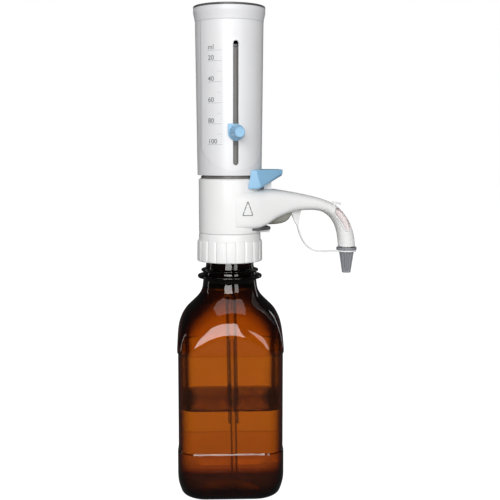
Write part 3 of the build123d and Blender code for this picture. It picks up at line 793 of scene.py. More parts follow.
@dataclass
class Bottle:
    """The square amber bottle, its liquid and the rings of its neck."""

    corner: float = 16.0
    wall: float = 3.2
    yaw: float = -10.0
    label_depth: float = 0.7
    label_low: float = 42.5
    label_high: float = 125.0
    floor_level: float = 5.4
    liquid_level: float = 78.0
    thread_pitch: float = 4.0
    thread_start: float = 199.5
    thread_turns: float = 2.5
    thread_rise: float = 1.7
    thread_fade: float = 0.08
    segments: int = 160
    half: float = 44.5
    mouth_height: float = 0.0
    heel: list[Pair] = field(
        default_factory=lambda: [
            (31.5, 0.0), (33.6, 0.35), (37.0, 1.8), (40.7, 5.4), (42.9, 11.5), (44.1, 17.0), (44.5, 23.0)
        ]
    )
    shoulder: list[Pair] = field(
        default_factory=lambda: [
            (61.8, 128.0), (45.6, 149.0), (37.6, 159.0), (31.5, 165.0),
            (26.7, 170.0), (23.9, 175.0), (22.7, 182.5),
        ]
    )

    def __post_init__(self) -> None:
        """Takes the mouth's height from the frame."""
        self.mouth_height = span("bottle").high.z

    def outer_levels(self) -> list[tuple[float, Rim]]:
        """The outside from the middle of the base up to the lip: heights with their rims.

        Returns:
            Heights, each with the rim there.
        """
        levels: list[tuple[float, Rim]] = []
        for half, height in ((6.0, 4.2), (14.0, 4.0), (22.0, 3.2), (27.5, 1.6), (29.6, 0.35)):
            levels.append((height, self.square(half, half * 0.42)))
        for half, height in smooth_line(self.heel, 4):
            levels.append((height, self.square(half, self.corner - (self.half - half) * 0.12)))
        for height in self.body_heights():
            levels.append((height, self.wall_rim(height, 0.0)))
        for radius, height in self.neck_profile():
            levels.append((height, self.neck_rim(radius, height)))
        return levels

    def body_heights(self) -> list[float]:
        """Heights of the body's rings, close together where the form turns.

        Returns:
            The heights, rising.
        """
        edges = [30.0, 41.6, 42.1, 42.9, 43.4, 60.0, 80.0, 100.0, 124.0, 124.6, 125.4, 126.0]
        rising = [128.0 + 1.5 * step for step in range(36)]
        return edges + rising

    def square(self, half: float, corner: float) -> Rim:
        """A rounded square rim of one size."""
        return lambda angle: square_rim(angle, half, corner)

    def wall_rim(self, height: float, inset: float) -> Rim:
        """The body's rim at a height: the square, met softly by the turned shoulder.

        Args:
            height: Height of the ring.
            inset: How far inside the outer skin it lies.

        Returns:
            The rim.
        """
        recess = self.label_depth * soft_step(self.label_low - 0.6, self.label_low + 0.6, height)
        recess *= 1 - soft_step(self.label_high - 0.7, self.label_high + 0.7, height)
        half = self.half - inset - (recess if inset == 0 else 0.35 * recess)
        corner = max(self.corner - inset, 4.0)
        profile = [(up, radius) for radius, up in smooth_line(self.shoulder, 8)]
        turned_radius = reading(profile, height + 0.75 * inset) - 0.68 * inset
        return lambda angle: soft_least(square_rim(angle, half, corner), turned_radius, 9.0)

    def neck_profile(self) -> list[Pair]:
        """The neck's outside from the shoulder to the rounded lip.

        Returns:
            Radii with their heights.
        """
        top = self.mouth_height
        return rounded(
            [
                (22.7, 183.0, 0),
                (22.9, 184.6, 1.0),
                (27.4, 184.9, 1.1),
                (27.4, 187.3, 1.1),
                (23.2, 187.9, 0.8),
                (22.6, 190.3, 0.6),
                (24.4, 190.6, 0.6),
                (24.4, 192.0, 0.6),
                (20.9, 192.6, 1.0),
                (20.35, 195.5, 0.0),
                (20.35, top - 1.6, 0),
                (20.35, top, 1.5),
                (18.2, top, 0),
            ]
        )

    def neck_rim(self, radius: float, height: float) -> Rim:
        """A round rim that carries the screw thread's ridge where there is one."""
        return lambda angle: radius + self.thread_ridge(angle, height)

    def thread_ridge(self, angle: float, height: float) -> float:
        """How far the thread stands out at a place on the neck.

        Args:
            angle: Direction in radians.
            height: Height in millimetres.

        Returns:
            The ridge's height above the neck.
        """
        total = 0.0
        for lap in range(-1, 4):
            travelled = angle / math.tau + lap
            if not 0 <= travelled <= self.thread_turns:
                continue
            off = abs(height - self.thread_start - self.thread_pitch * travelled)
            fade = min(travelled / self.thread_fade, (self.thread_turns - travelled) / self.thread_fade, 1.0)
            total = max(total, self.thread_rise * fade * (1 - soft_step(0.35, 1.15, off)))
        return total

    def inner_levels(self, inset: float) -> list[tuple[float, Rim]]:
        """The inside from the middle of the floor up to the lip.

        Args:
            inset: How far in from the bottle's outside the surface lies.

        Returns:
            Heights, each with the rim there.
        """
        floor = self.floor_level
        levels: list[tuple[float, Rim]] = []
        for half, rise in ((5.0, 3.4), (14.0, 3.0), (22.0, 2.0), (28.0, 0.6)):
            height = floor + rise
            levels.append((height, self.square(half, half * 0.42)))
        room = self.half - inset
        for half, height in ((30.6, 0.0), (34.0, 0.5), (37.4, 2.6), (39.6, 6.4), (40.8, 11.0), (41.3, 17.0)):
            shrunk = half - 41.3 + room
            corner = max(self.corner - inset - (room - shrunk) * 0.12, 3.0)
            levels.append((floor + height, self.square(shrunk, corner)))
        for height in [value for value in self.body_heights() if value > floor + 18.0 and value < 178.0]:
            levels.append((height, self.wall_rim(height, inset)))
        return levels

    def throat_levels(self) -> list[tuple[float, Rim]]:
        """The bore of the neck up to the lip's inner edge.

        Returns:
            Heights, each with the rim there.
        """
        top = self.mouth_height
        bore = rounded(
            [(17.6, 181.0, 0), (16.1, 186.0, 3.0), (16.0, 190.0, 0), (16.0, top, 1.2), (18.0, top, 0)]
        )
        return [(height, self.neck_plain(radius)) for radius, height in bore]

    def neck_plain(self, radius: float) -> Rim:
        """A plain round rim."""
        return lambda angle: radius

    def make_glass(self) -> bpy.types.Object:
        """Builds the bottle as one closed wall of glass.

        Returns:
            The bottle.
        """
        turn = math.radians(self.yaw)
        outside = [level_ring(height, rim, self.segments, turn) for height, rim in self.outer_levels()]
        inside = [
            level_ring(height, rim, self.segments, turn)
            for height, rim in self.inner_levels(self.wall) + self.throat_levels()
        ]
        bm = lofted(outside + inside[::-1])
        return settle(bm, "amber_bottle", Body.BOTTLE, AMBER, ["bottle"], sharp=60.0)

    def make_liquid(self) -> bpy.types.Object:
        """Builds the liquid a hair into the wall, with a risen edge at the glass.

        Returns:
            The liquid.
        """
        turn = math.radians(self.yaw)
        inset = self.wall - 0.12
        levels = [pair for pair in self.inner_levels(inset) if pair[0] < self.liquid_level - 2]
        rings = [level_ring(height - 0.1, rim, self.segments, turn) for height, rim in levels]
        level = self.liquid_level
        full = self.half - inset
        corner = self.corner - inset
        for shrink, rise in ((0.0, 1.0), (0.25, 0.9), (0.9, 0.35), (2.2, 0.0), (12.0, 0.0)):
            rim = self.square(full - shrink, corner - min(shrink, 8.0))
            rings.append(level_ring(level + rise, rim, self.segments, turn))
        rings.append(level_ring(level, self.square(10.0, 4.0), self.segments, turn))
        return settle(lofted(rings), "liquid", Body.BOTTLE, WATER, sharp=50.0)

    def build(self) -> None:
        """Builds and dresses the bottle and its liquid."""
        self.make_glass()
        self.make_liquid()


# ---------------------------------------------------------------- screw collar


@dataclass
class ScrewCollar:
    """The ribbed collar that holds the head on the bottle."""

    ribs: int = 20
    groove_depth: float = 0.75
    groove_share: float = 0.16
    band: float = 6.0
    bore: float = 22.9
    hole: float = 18.5
    per_rib: int = 18

    def rib_rim(self, radius: float, strength: float) -> Rim:
        """The ribs' rim: broad, slightly crowned faces between narrow grooves.

        Args:
            radius: The ribs' outer radius.
            strength: 1 where the grooves are at full depth, 0 where they have run out.

        Returns:
            The rim.
        """

        def rim(angle: float) -> float:
            """The distance at an angle.

            Args:
                angle: Direction in radians.

            Returns:
                The distance from the axis.
            """
            share = (angle * self.ribs / math.tau) % 1.0
            middle = abs(share - 0.5) * 2
            groove = soft_step(1 - self.groove_share, 1 - self.groove_share * 0.35, middle)
            crown = 0.22 * middle * middle
            return radius - strength * (self.groove_depth * groove + crown)

        return rim

    def build(self) -> None:
        """Builds the collar from its ribbed skirt, its plain band and its bore."""
        box = span("screw_collar")
        low = box.low.z
        high = box.high.z
        outer = box.radius
        top = outer - 1.55
        shelf = high - self.band
        segments = self.ribs * self.per_rib
        bore_top = high - 4.0
        levels: list[tuple[float, float, float]] = [
            (low, self.bore, 0.0),
            (low, outer - 1.6, 0.3),
            (low + 0.15, outer - 0.7, 0.8),
            (low + 0.7, outer - 0.12, 1.0),
            (low + 1.4, outer, 1.0),
            (shelf - 1.6, outer - 0.25, 1.0),
            (shelf - 0.7, outer - 0.5, 0.9),
            (shelf - 0.1, outer - 1.0, 0.5),
            (shelf + 0.15, top + 0.05, 0.1),
            (shelf + 0.5, top, 0.0),
            (high - 0.6, top - 0.05, 0.0),
            (high - 0.15, top - 0.3, 0.0),
            (high, top - 0.8, 0.0),
            (high, self.hole, 0.0),
            (bore_top, self.hole, 0.0),
            (bore_top, self.bore, 0.0),
        ]
        rings = []
        for height, radius, strength in levels:
            rings.append(level_ring(height, self.rib_rim(radius, strength), segments))
        bm = lofted(rings + [rings[0]], capped=False)
        bmesh.ops.remove_doubles(bm, verts=bm.verts, dist=1e-4)
        bmesh.ops.recalc_face_normals(bm, faces=bm.faces)
        settle(bm, "ribbed_collar", Body.COLLAR, WHITE, ["screw_collar"], sharp=45.0)


# ---------------------------------------------------------------- valve block and arm


@dataclass
class Arm:
    """The discharge arm: stations along its centre line with their sections."""

    window_depth: float = 8.2
    window_wall: float = 0.9
    window_corner: float = 3.6
    window_high: float = 241.2
    window_low: float = 222.6
    bend_start: float = 84.0
    segments: int = 72
    stations: list[tuple[float, ...]] = field(
        default_factory=lambda: [
            # x, z, fall, half width, half thickness above and below, fullness above and below
            (0.0, 244.0, 0.0, 27.3, 16.5, 16.6, 5.0, 9.0),
            (10.0, 244.0, 0.0, 26.6, 16.4, 16.6, 4.6, 9.0),
            (20.0, 244.6, 0.0, 24.6, 15.8, 17.0, 4.0, 8.0),
            (28.0, 246.0, 0.0, 22.3, 14.4, 16.2, 3.4, 7.0),
            (36.0, 248.0, 0.0, 20.1, 12.1, 13.7, 3.0, 5.5),
            (44.0, 249.0, 0.0, 18.2, 10.1, 11.4, 2.8, 4.5),
            (53.0, 249.2, 1.0, 16.3, 8.3, 9.0, 2.6, 3.6),
            (64.0, 248.6, 5.0, 14.2, 6.7, 7.2, 2.5, 3.0),
            (75.0, 247.0, 10.0, 12.3, 5.6, 5.8, 2.4, 2.7),
            (84.5, 244.2, 22.0, 10.8, 5.2, 5.2, 2.3, 2.5),
            (92.5, 239.0, 42.0, 9.6, 5.6, 5.4, 2.3, 2.4),
            (98.5, 231.4, 60.0, 8.8, 6.2, 6.0, 2.2, 2.3),
            (101.9, 223.6, 73.0, 8.2, 6.9, 6.8, 2.1, 2.2),
            (103.6, 216.0, 81.0, 7.8, 7.4, 7.3, 2.0, 2.1),
            (104.4, 209.2, 90.0, 7.55, 7.6, 7.55, 2.0, 2.0),
        ]
    )

    def ring(self, station: tuple[float, ...]) -> list[Vector]:
        """One section of the arm.

        Args:
            station: One row of the arm's stations.

        Returns:
            The section's points.
        """
        x, z, fall, half, above, below, full_above, full_below = station
        slope = math.radians(fall)
        centre = Vector((x, 0.0, z))
        out = Vector((math.sin(slope), 0.0, math.cos(slope)))
        side = Vector((0.0, 1.0, 0.0))
        points = []
        for index in range(self.segments):
            angle = math.tau * (index + 0.5) / self.segments
            upper = math.sin(angle) >= 0
            power = 2 / (full_above if upper else full_below)
            across = math.copysign(abs(math.cos(angle)) ** power, math.cos(angle)) * half
            up = math.copysign(abs(math.sin(angle)) ** power, math.sin(angle)) * (above if upper else below)
            points.append(centre + side * across + out * up)
        return points

    def skin(self) -> bmesh.types.BMesh:
        """The arm's closed skin."""
        return lofted([self.ring(station) for station in smooth_line(self.stations, 6)])

    def outer_line(self) -> list[tuple[Vector, Vector, float]]:
        """Points along the outer side of the bend, each with its outward way and its height.

        Returns:
            Places, outward directions and heights of the centre line.
        """
        line = []
        for station in smooth_line(self.stations, 24):
            x, z, fall, above = station[0], station[1], station[2], station[4]
            if x < self.bend_start or not self.window_low <= z <= self.window_high:
                continue
            slope = math.radians(fall)
            out = Vector((math.sin(slope), 0.0, math.cos(slope)))
            line.append((Vector((x, 0.0, z)) + out * above, out, z))
        return line

    def window_reach(self, height: float) -> float:
        """How deep the window is at a height of the centre line, with rounded corners.

        Args:
            height: The centre line's height.

        Returns:
            The depth from the skin.
        """
        end = min(height - self.window_low, self.window_high - height)
        short = max(self.window_corner - end, 0.0)
        return self.window_depth - self.window_corner + math.sqrt(max(self.window_corner**2 - short**2, 0.0))

    def window_cutter(self) -> bmesh.types.BMesh:
        """The shape that opens the bend's outer side across its whole width.

        Returns:
            The closed shape.
        """
        side = Vector((0.0, 14.0, 0.0))
        rings = []
        for point, out, height in self.outer_line():
            inner = point - out * self.window_reach(height)
            outer = point - out * (self.window_wall + (self.window_depth - self.window_reach(height)) * 0.6)
            rings.append([outer + side, outer - side, inner - side, inner + side])
        return lofted(rings)

    def window_edges(self) -> list[bmesh.types.BMesh]:
        """The raised beads along the window's edges, one on each flank, curled over at the top.

        Returns:
            One mesh for each bead.
        """
        beads = []
        for sign in (1.0, -1.0):
            line = []
            for point, out, height in self.outer_line():
                reach = self.window_reach(height)
                centre, half = self.flank(height, reach)
                line.append(point - out * reach + Vector((0.0, sign * half, 0.0)))
            top, out, height = self.outer_line()[0]
            curl = [
                top - out * 1.6 + Vector((-1.9, sign * 7.4, 0.6)),
                top + out * 0.9 + Vector((-1.5, sign * 6.2, 0.6)),
                top + out * 2.1 + Vector((0.6, sign * 5.2, 0.4)),
                top + out * 1.5 + Vector((3.0, sign * 4.6, -0.6)),
            ]
            whole = [tuple(point) for point in curl[::-1] + line[1:]]
            path = [Vector(point) for point in smooth_line(whole, 3)]
            rings = []
            for index, point in enumerate(path):
                ahead = path[min(index + 1, len(path) - 1)] - path[max(index - 1, 0)]
                across = ahead.cross(Vector((0.0, 1.0, 0.0))).normalized()
                up = across.cross(ahead).normalized()
                rings.append([point + across * a + up * b for a, b in round_outline(0.85, 10)])
            beads.append(lofted(rings))
        return beads

    def flank(self, height: float, reach: float) -> Pair:
        """Half the thickness and half the width of the section where the window's floor meets the flank.

        Args:
            height: The centre line's height.
            reach: How deep the window is there.

        Returns:
            Half the thickness and half the width.
        """
        near = sorted((station[1], station) for station in self.stations if station[0] > 80.0)
        above = reading([(level, station[4]) for level, station in near], height)
        half = reading([(level, station[3]) for level, station in near], height)
        full = reading([(level, station[6]) for level, station in near], height)
        share = min(abs(above - reach) / above, 1.0)
        return above, half * (1 - share**full) ** (1 / full)


@dataclass
class ValveBlock:
    """The white block under the cylinder with the arm that grows out of it."""

    arm: Arm = field(default_factory=Arm)
    spigot_seat: float = 4.0
    bore: float = 20.4
    deck: float = 7.4
    lip_half: float = 9.0
    lip_thickness: float = 2.4
    lip_reach: float = 33.0
    spring_play: float = 0.2
    hood: list[tuple[float, float, float, float]] = field(
        default_factory=lambda: [
            (31.0, 236.2, 5.0, 4.6), (32.0, 236.2, 6.4, 6.0), (33.5, 236.3, 7.0, 6.8),
            (36.0, 236.5, 7.2, 7.1), (36.3, 236.5, 6.7, 6.6), (37.0, 236.6, 6.7, 6.6),
            (37.3, 236.6, 7.2, 7.1), (41.0, 236.9, 7.2, 7.2), (45.0, 237.4, 7.1, 7.1),
            (48.5, 238.2, 6.8, 6.7), (51.0, 239.1, 6.1, 5.7), (52.8, 240.0, 4.9, 4.2),
            (53.8, 240.6, 3.2, 2.4),
        ]
    )
    mark_place: Pair = (5.8, 239.2)
    mark_size: Pair = (8.8, 11.6)
    mark_line: float = 0.68
    mark_gap: float = 0.02
    mark_lift: float = 0.07
    # Painted shadow: the gap and height of the dark plate under the arm's root.
    shadow_plate_gap: float = 0.15
    shadow_plate_height: float = 2.7

    def make_cover(self) -> bpy.types.Object:
        """Builds the block, joins the arm and the lip to it and opens the window.

        Returns:
            The block.
        """
        box = span("valve_block_cover")
        low = span("neck_spigot").high.z - self.spigot_seat
        radius = -box.low.x
        high = span("cylinder_sleeve").low.z + self.deck
        neck = span("cylinder_clamp_ring").radius - 1.2
        profile = rounded(
            [
                (self.bore, low, 0),
                (radius - 0.5, low, 0.2),
                (radius, low + 0.5, 0.4),
                (radius, high - 1.1, 0.5),
                (radius - 1.0, high, 0.4),
                (neck, high, 0.2),
                (neck, high - self.deck, 0.2),
                (self.bore, high - self.deck, 0),
            ],
            4,
        )
        base = turned(profile, 144)
        top = low + self.lip_thickness
        lip = slab([(20.0, low), (self.lip_reach, low), (self.lip_reach, top), (20.0, top)], self.lip_half)
        eased(lip, 0.5)
        arm = combined(self.arm.skin(), self.bore_plug(low - 5, high - self.deck), "DIFFERENCE")
        bm = combined(base, arm, "UNION")
        bm = combined(bm, lip, "UNION")
        bm = combined(bm, self.arm.window_cutter(), "DIFFERENCE")
        return settle(bm, "valve_block", Body.HEAD, WHITE, ["valve_block_cover"], sharp=28.0)

    def bore_plug(self, low: float, high: float) -> bmesh.types.BMesh:
        """The room inside the block that the arm's root must leave free."""
        return turned([(0.0, low), (self.bore, low), (self.bore, high), (0.0, high)], 144, closed=False)

    def make_mark(self, block: bpy.types.Object) -> None:
        """Lays a plain outlined triangle on the block's flank.

        Args:
            block: The block that carries it.
        """
        x, z = self.mark_place
        wide, tall = self.mark_size
        corners = [Vector((x, z)), Vector((x + wide, z)), Vector((x + wide / 2, z + tall))]
        bm = bmesh.new()
        for start, end in zip(corners, corners[1:] + corners[:1]):
            along = end - start
            across = Vector((-along.y, along.x)).normalized() * self.mark_line / 2
            for dash in range(3):
                first = start + along * (dash / 3 + self.mark_gap)
                last = start + along * ((dash + 1) / 3 - self.mark_gap)
                flat = [first - across, last - across, last + across, first + across]
                made = bmesh.ops.create_grid(bm, x_segments=8, y_segments=1, size=1.0)["verts"]
                for vert in made:
                    share = (vert.co.x + 1) / 2
                    side = (vert.co.y + 1) / 2
                    spot = flat[0].lerp(flat[1], share).lerp(flat[3].lerp(flat[2], share), side)
                    vert.co = self.on_flank(block, spot.x, spot.y)
        bmesh.ops.recalc_face_normals(bm, faces=bm.faces)
        bmesh.ops.solidify(bm, geom=bm.faces[:], thickness=0.06)
        settle(bm, "flank_mark", Body.HEAD, DARK)

    def on_flank(self, block: bpy.types.Object, x: float, z: float) -> Vector:
        """The spot on the block's near side in front of a place, lifted by a hair."""
        place, normal = block.ray_cast(Vector((x, -60.0, z)) * MM, Vector((0.0, 1.0, 0.0)))[1:3]
        return place / MM + normal * self.mark_lift

    def make_shadow_plate(self) -> None:
        """Builds a dark plate between the arm's root and the lip, which paints the shadow in the gap under
        the arm.
        """
        low = span("neck_spigot").high.z - self.spigot_seat + self.lip_thickness + self.shadow_plate_gap
        top = low + self.shadow_plate_height
        outline = [(4.0, 22.5), (22.0, 20.8), (33.0, 12.0), (33.0, -12.0), (22.0, -20.8), (4.0, -22.5)]
        bm = lofted([[Vector((x, y, height)) for x, y in outline] for height in (low, top)])
        eased(bm, 0.4)
        bm = combined(bm, self.bore_plug(low - 5, top + 5), "DIFFERENCE")
        # Painted shadow: a dark sheet where there is only shade under the arm.
        settle(bm, "painted_shadow_plate", Body.HEAD, DARK)

    def make_valve_hood(self) -> None:
        """Builds the rounded grey body of the discharge valve that shows under the arm."""
        rings = []
        for x, z, half, tall in self.hood:
            ring = []
            for index in range(48):
                angle = math.tau * index / 48
                across = math.copysign(abs(math.cos(angle)) ** 0.8, math.cos(angle)) * half
                up = math.copysign(abs(math.sin(angle)) ** 0.8, math.sin(angle)) * tall
                ring.append(Vector((x, across, z + up)))
            rings.append(ring)
        settle(lofted(rings), "valve_hood", Body.HEAD, GREY, ["discharge_valve"], sharp=50.0)

    def make_spring(self) -> None:
        """Copies the delivery valve's spring as a piece with a mesh of its own."""
        bm = bmesh.new()
        bm.from_mesh(frame["nodes"]["discharge_spring"].data)
        bmesh.ops.scale(bm, vec=(1 / MM, 1 / MM, 1 / MM), verts=bm.verts)
        clean(bm)
        spring = settle(bm, "valve_spring", Body.HEAD, SPRING, ["discharge_spring"], sharp=60.0)
        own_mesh(spring)

    def build(self) -> None:
        """Builds the block and its small parts."""
        block = self.make_cover()
        self.make_shadow_plate()
        self.make_valve_hood()
        self.make_spring()
        self.make_mark(block)
        for index, bead in enumerate(self.arm.window_edges()):
            settle(bead, f"window_edge_{index + 1}", Body.HEAD, WHITE, sharp=60.0)


# ---------------------------------------------------------------- nozzle cap and tether


@dataclass
class NozzleCap:
    """The fluted cap on the nozzle with the ring, strap and web that keep it."""

    flutes: int = 12
    flute_depth: float = 1.15
    per_flute: int = 10
    strap_half: float = 1.5
    strap_thick: float = 0.65
    ring_bore: float = 6.8
    lug_root: float = 7.2
    web_half: float = 1.35
    line: list[Pair] = field(
        default_factory=lambda: [
            (59.2, 231.5), (60.2, 226.5), (62.2, 220.0), (65.6, 213.6),
            (70.6, 208.3), (77.5, 205.4), (86.5, 204.9), (95.9, 205.1),
        ]
    )

    def flute_rim(self, radius: float, strength: float) -> Rim:
        """A round rim with hollows; strength 1 gives them their full depth."""

        def rim(angle: float) -> float:
            """The distance at an angle."""
            wave = 0.5 - 0.5 * math.cos(angle * self.flutes)
            return radius - strength * self.flute_depth * wave**1.6

        return rim

    def make_cap(self) -> None:
        """Builds the cap: a funnelled flange over a fluted cone, bored through."""
        box = span("nozzle_cap")
        top = box.high.z
        low = box.low.z
        edge = box.radius
        step = top - 2.4
        levels = [
            (top - 2.9, 3.95, 0.0),
            (top - 2.2, 5.4, 0.0),
            (top - 0.25, 7.5, 0.0),
            (top, 7.8, 0.0),
            (top, edge - 0.35, 0.0),
            (top - 0.3, edge, 0.0),
            (step + 0.3, edge, 0.0),
            (step, edge - 0.3, 0.0),
            (step, 6.75, 0.0),
            (step - 1.7, 6.6, 0.0),
            (step - 2.1, 6.5, 0.25),
            (step - 3.2, 6.35, 1.0),
            (low + 2.2, 4.15, 1.0),
            (low + 1.0, 3.95, 0.5),
            (low + 0.5, 3.85, 0.1),
            (low + 0.1, 3.7, 0.0),
            (low, 3.4, 0.0),
            (low, 2.35, 0.0),
        ]
        levels.append((top - 2.9, 3.95, 0.0))
        segments = self.flutes * self.per_flute
        rings = []
        for height, radius, strength in levels:
            rings.append(level_ring(height, self.flute_rim(radius, strength), segments))
        bm = lofted(rings, capped=False)
        clean(bm)
        bmesh.ops.translate(bm, vec=(box.middle.x, 0.0, 0.0), verts=bm.verts)
        settle(bm, "fluted_cap", Body.CAP, CAP_GREY, ["nozzle_cap"], sharp=40.0)

    def make_ring(self) -> None:
        """Builds the tether's ring with its short lug."""
        box = span("tether_ring")
        low = box.low.z
        high = box.high.z
        centre = span("nozzle_cap").middle.x
        outer = box.high.x - centre
        inner = self.ring_bore
        profile = rounded([(inner, low, 0), (outer, low, 0.5), (outer, high, 0.5), (inner, high, 0)], 4)
        bm = turned(profile, 96)
        bmesh.ops.translate(bm, vec=(centre, 0.0, 0.0), verts=bm.verts)
        root = centre - self.lug_root
        lug = slab([(box.low.x, low), (root, low), (root, high), (box.low.x, high)], self.strap_half)
        eased(lug, 0.35)
        settle(combined(bm, lug, "UNION"), "cap_ring", Body.CAP, WHITE, ["tether_ring"])

    def make_strap(self) -> None:
        """Builds the flat strap and the web that it grows from."""
        points = [Vector((x, 0.0, z)) for x, z in smooth_line(self.line, 8)]
        outline = []
        for index in range(20):
            angle = math.tau * (index + 0.5) / 20
            across = math.copysign(abs(math.cos(angle)) ** 0.5, math.cos(angle)) * self.strap_half
            out = math.copysign(abs(math.sin(angle)) ** 0.7, math.sin(angle)) * self.strap_thick
            outline.append((across, out))
        rings = tube_along(points, outline, Vector((0.0, 1.0, 0.0)))
        settle(lofted(rings), "cap_strap", Body.HEAD, WHITE, ["tether_strap"], sharp=120.0)
        web = slab(
            rounded(
                [
                    (52.5, 244.0, 0), (63.0, 244.0, 0), (62.6, 240.6, 1.0), (60.9, 231.0, 3.0),
                    (60.2, 229.2, 0.5), (58.3, 229.2, 0.5), (56.6, 232.6, 2.0), (53.0, 240.6, 1.0),
                ],
                5,
            ),
            self.web_half,
        )
        eased(web, 0.3, 50.0, 2)
        settle(web, "strap_web", Body.HEAD, WHITE, ["tether_clip"])

    def build(self) -> None:
        """Builds the cap and its tether."""
        self.make_cap()
        self.make_ring()
        self.make_strap()


# ---------------------------------------------------------------- piston housing


@dataclass
class PistonHousing:
    """The drafted pale housing with its scale panel, slot, top ring and cap."""

    foot_radius: float = 27.1
    wall: float = 2.0
    slot_width: float = 4.5
    slot_low: float = 280.6
    slot_high: float = 380.9
    panel_half: float = 26.1
    panel_shoulder: float = 298.0
    panel_drop: float = 22.0
    panel_depth: float = 0.5
    panel_gap: float = 0.14
    steps: int = 256
    zero_below_top: float = 16.35
    rise_per_ml: float = 0.8425
    line_start: float = -24.2
    line_end: float = -11.0
    numeral_size: float = 5.3
    numeral_rise: float = 0.03
    numeral_weight: float = 0.04
    numeral_width: float = 1.1

    def __post_init__(self) -> None:
        """Takes the housing's levels from the frame."""
        box = span("piston_housing")
        self.low = box.low.z
        self.high = box.high.z
        self.top_radius = box.radius

    def radius(self, height: float) -> float:
        """The drafted wall's outer radius at a height."""
        share = (height - self.low) / (self.high - self.low)
        return self.foot_radius + (self.top_radius - self.foot_radius) * share

    def cone(self, offset: float, low: float, high: float) -> bmesh.types.BMesh:
        """The housing's drafted form as a solid, moved in or out by an offset.

        Args:
            offset: How far the surface moves outwards.
            low: The lowest height.
            high: The highest height.

        Returns:
            The closed shape.
        """
        foot = self.radius(low) + offset
        head = self.radius(high) + offset
        corners = [(0.0, low), (foot, low), (head, high), (0.0, high)]
        return turned(corners, self.steps, closed=False)

    def panel_outline(self, grow: float) -> list[Pair]:
        """The U of the scale panel.

        Args:
            grow: How far the outline moves outwards.

        Returns:
            The outline's points.
        """
        half = self.panel_half + grow
        drop = self.panel_drop + grow
        top = self.high + 2
        curve = []
        for step in range(49):
            angle = math.pi * step / 48
            curve.append((-half * math.cos(angle), self.panel_shoulder - drop * math.sin(angle)))
        return [(-half, top)] + curve + [(half, top)]

    def slot_outline(self, grow: float) -> list[Pair]:
        """The round-ended slot.

        Args:
            grow: How far the outline moves outwards.

        Returns:
            The outline's points.
        """
        half = self.slot_width / 2
        low = self.slot_low + half
        high = self.slot_high - half
        points = []
        for index in range(33):
            angle = math.pi * index / 32
            points.append(((half + grow) * math.cos(angle), high + (half + grow) * math.sin(angle)))
        for index in range(33):
            angle = math.pi * (1 + index / 32)
            points.append(((half + grow) * math.cos(angle), low + (half + grow) * math.sin(angle)))
        return points

    def make_shell(self) -> None:
        """Builds the shell, lets the panel's bed into it and cuts the slot."""
        foot = self.foot_radius
        head = self.top_radius
        profile = rounded(
            [
                (foot - self.wall, self.low, 0),
                (foot, self.low, 0.5),
                (head, self.high, 0.35),
                (head - self.wall, self.high, 0),
            ],
            4,
        )
        shell = turned(profile, self.steps)
        bed = combined(
            prism(self.panel_outline(0.0), -40.0, -5.0),
            self.cone(-self.panel_depth, self.low - 4, self.high + 4),
            "DIFFERENCE",
        )
        shell = combined(shell, bed, "DIFFERENCE")
        shell = combined(shell, prism(self.slot_outline(0.0), -40.0, -5.0), "DIFFERENCE")
        settle(shell, "housing_shell", Body.PLUNGER, PEARL, ["piston_housing"], sharp=25.0)

    def make_panel(self) -> None:
        """Builds the scale panel that lies flush in its bed."""
        gap = self.panel_gap
        skin = combined(
            self.cone(0.0, self.low + 1, self.high - 0.15),
            self.cone(gap - self.panel_depth, self.low - 4, self.high + 4),
            "DIFFERENCE",
        )
        skin = combined(skin, prism(self.panel_outline(-gap), -40.0, -5.0), "INTERSECT")
        skin = combined(skin, prism(self.slot_outline(0.25), -40.0, -5.0), "DIFFERENCE")
        settle(skin, "scale_panel_skin", Body.PLUNGER, PANEL, ["scale_panel"], sharp=25.0)

    def make_slot_rim(self) -> None:
        """Builds the fine raised edge around the slot."""
        inner = self.slot_outline(0.02)
        outer = self.slot_outline(0.62)
        rings = []
        for (xa, za), (xb, zb) in zip(inner, outer):
            ring = []
            crest = ((xa + xb) / 2, (za + zb) / 2, 0.22)
            for x, z, lift in ((xa, za, -1.1), (xa, za, 0.12), crest, (xb, zb, 0.1), (xb, zb, -0.3)):
                reach = self.radius(z) + lift
                ring.append(Vector((x, -math.sqrt(reach * reach - x * x), z)))
            rings.append(ring)
        bm = lofted(rings + [rings[0]], capped=False)
        clean(bm)
        settle(bm, "slot_rim", Body.PLUNGER, PANEL, sharp=40.0)

    def wrap(self, bm: bmesh.types.BMesh, along: float, height: float, lift: float = 0.05) -> None:
        """Lays a flat print on the panel: its x runs round the housing, its y runs up.

        Args:
            bm: The flat print, with its thickness along z.
            along: Where its x of 0 falls, round the housing from the slot.
            height: Where its y of 0 falls.
            lift: How far its underside is from the panel.
        """
        for vert in bm.verts:
            level = height + vert.co.y
            reach = self.radius(level)
            angle = (along + vert.co.x) / reach
            out = reach + lift + vert.co.z
            vert.co = Vector((out * math.sin(angle), -out * math.cos(angle), level))

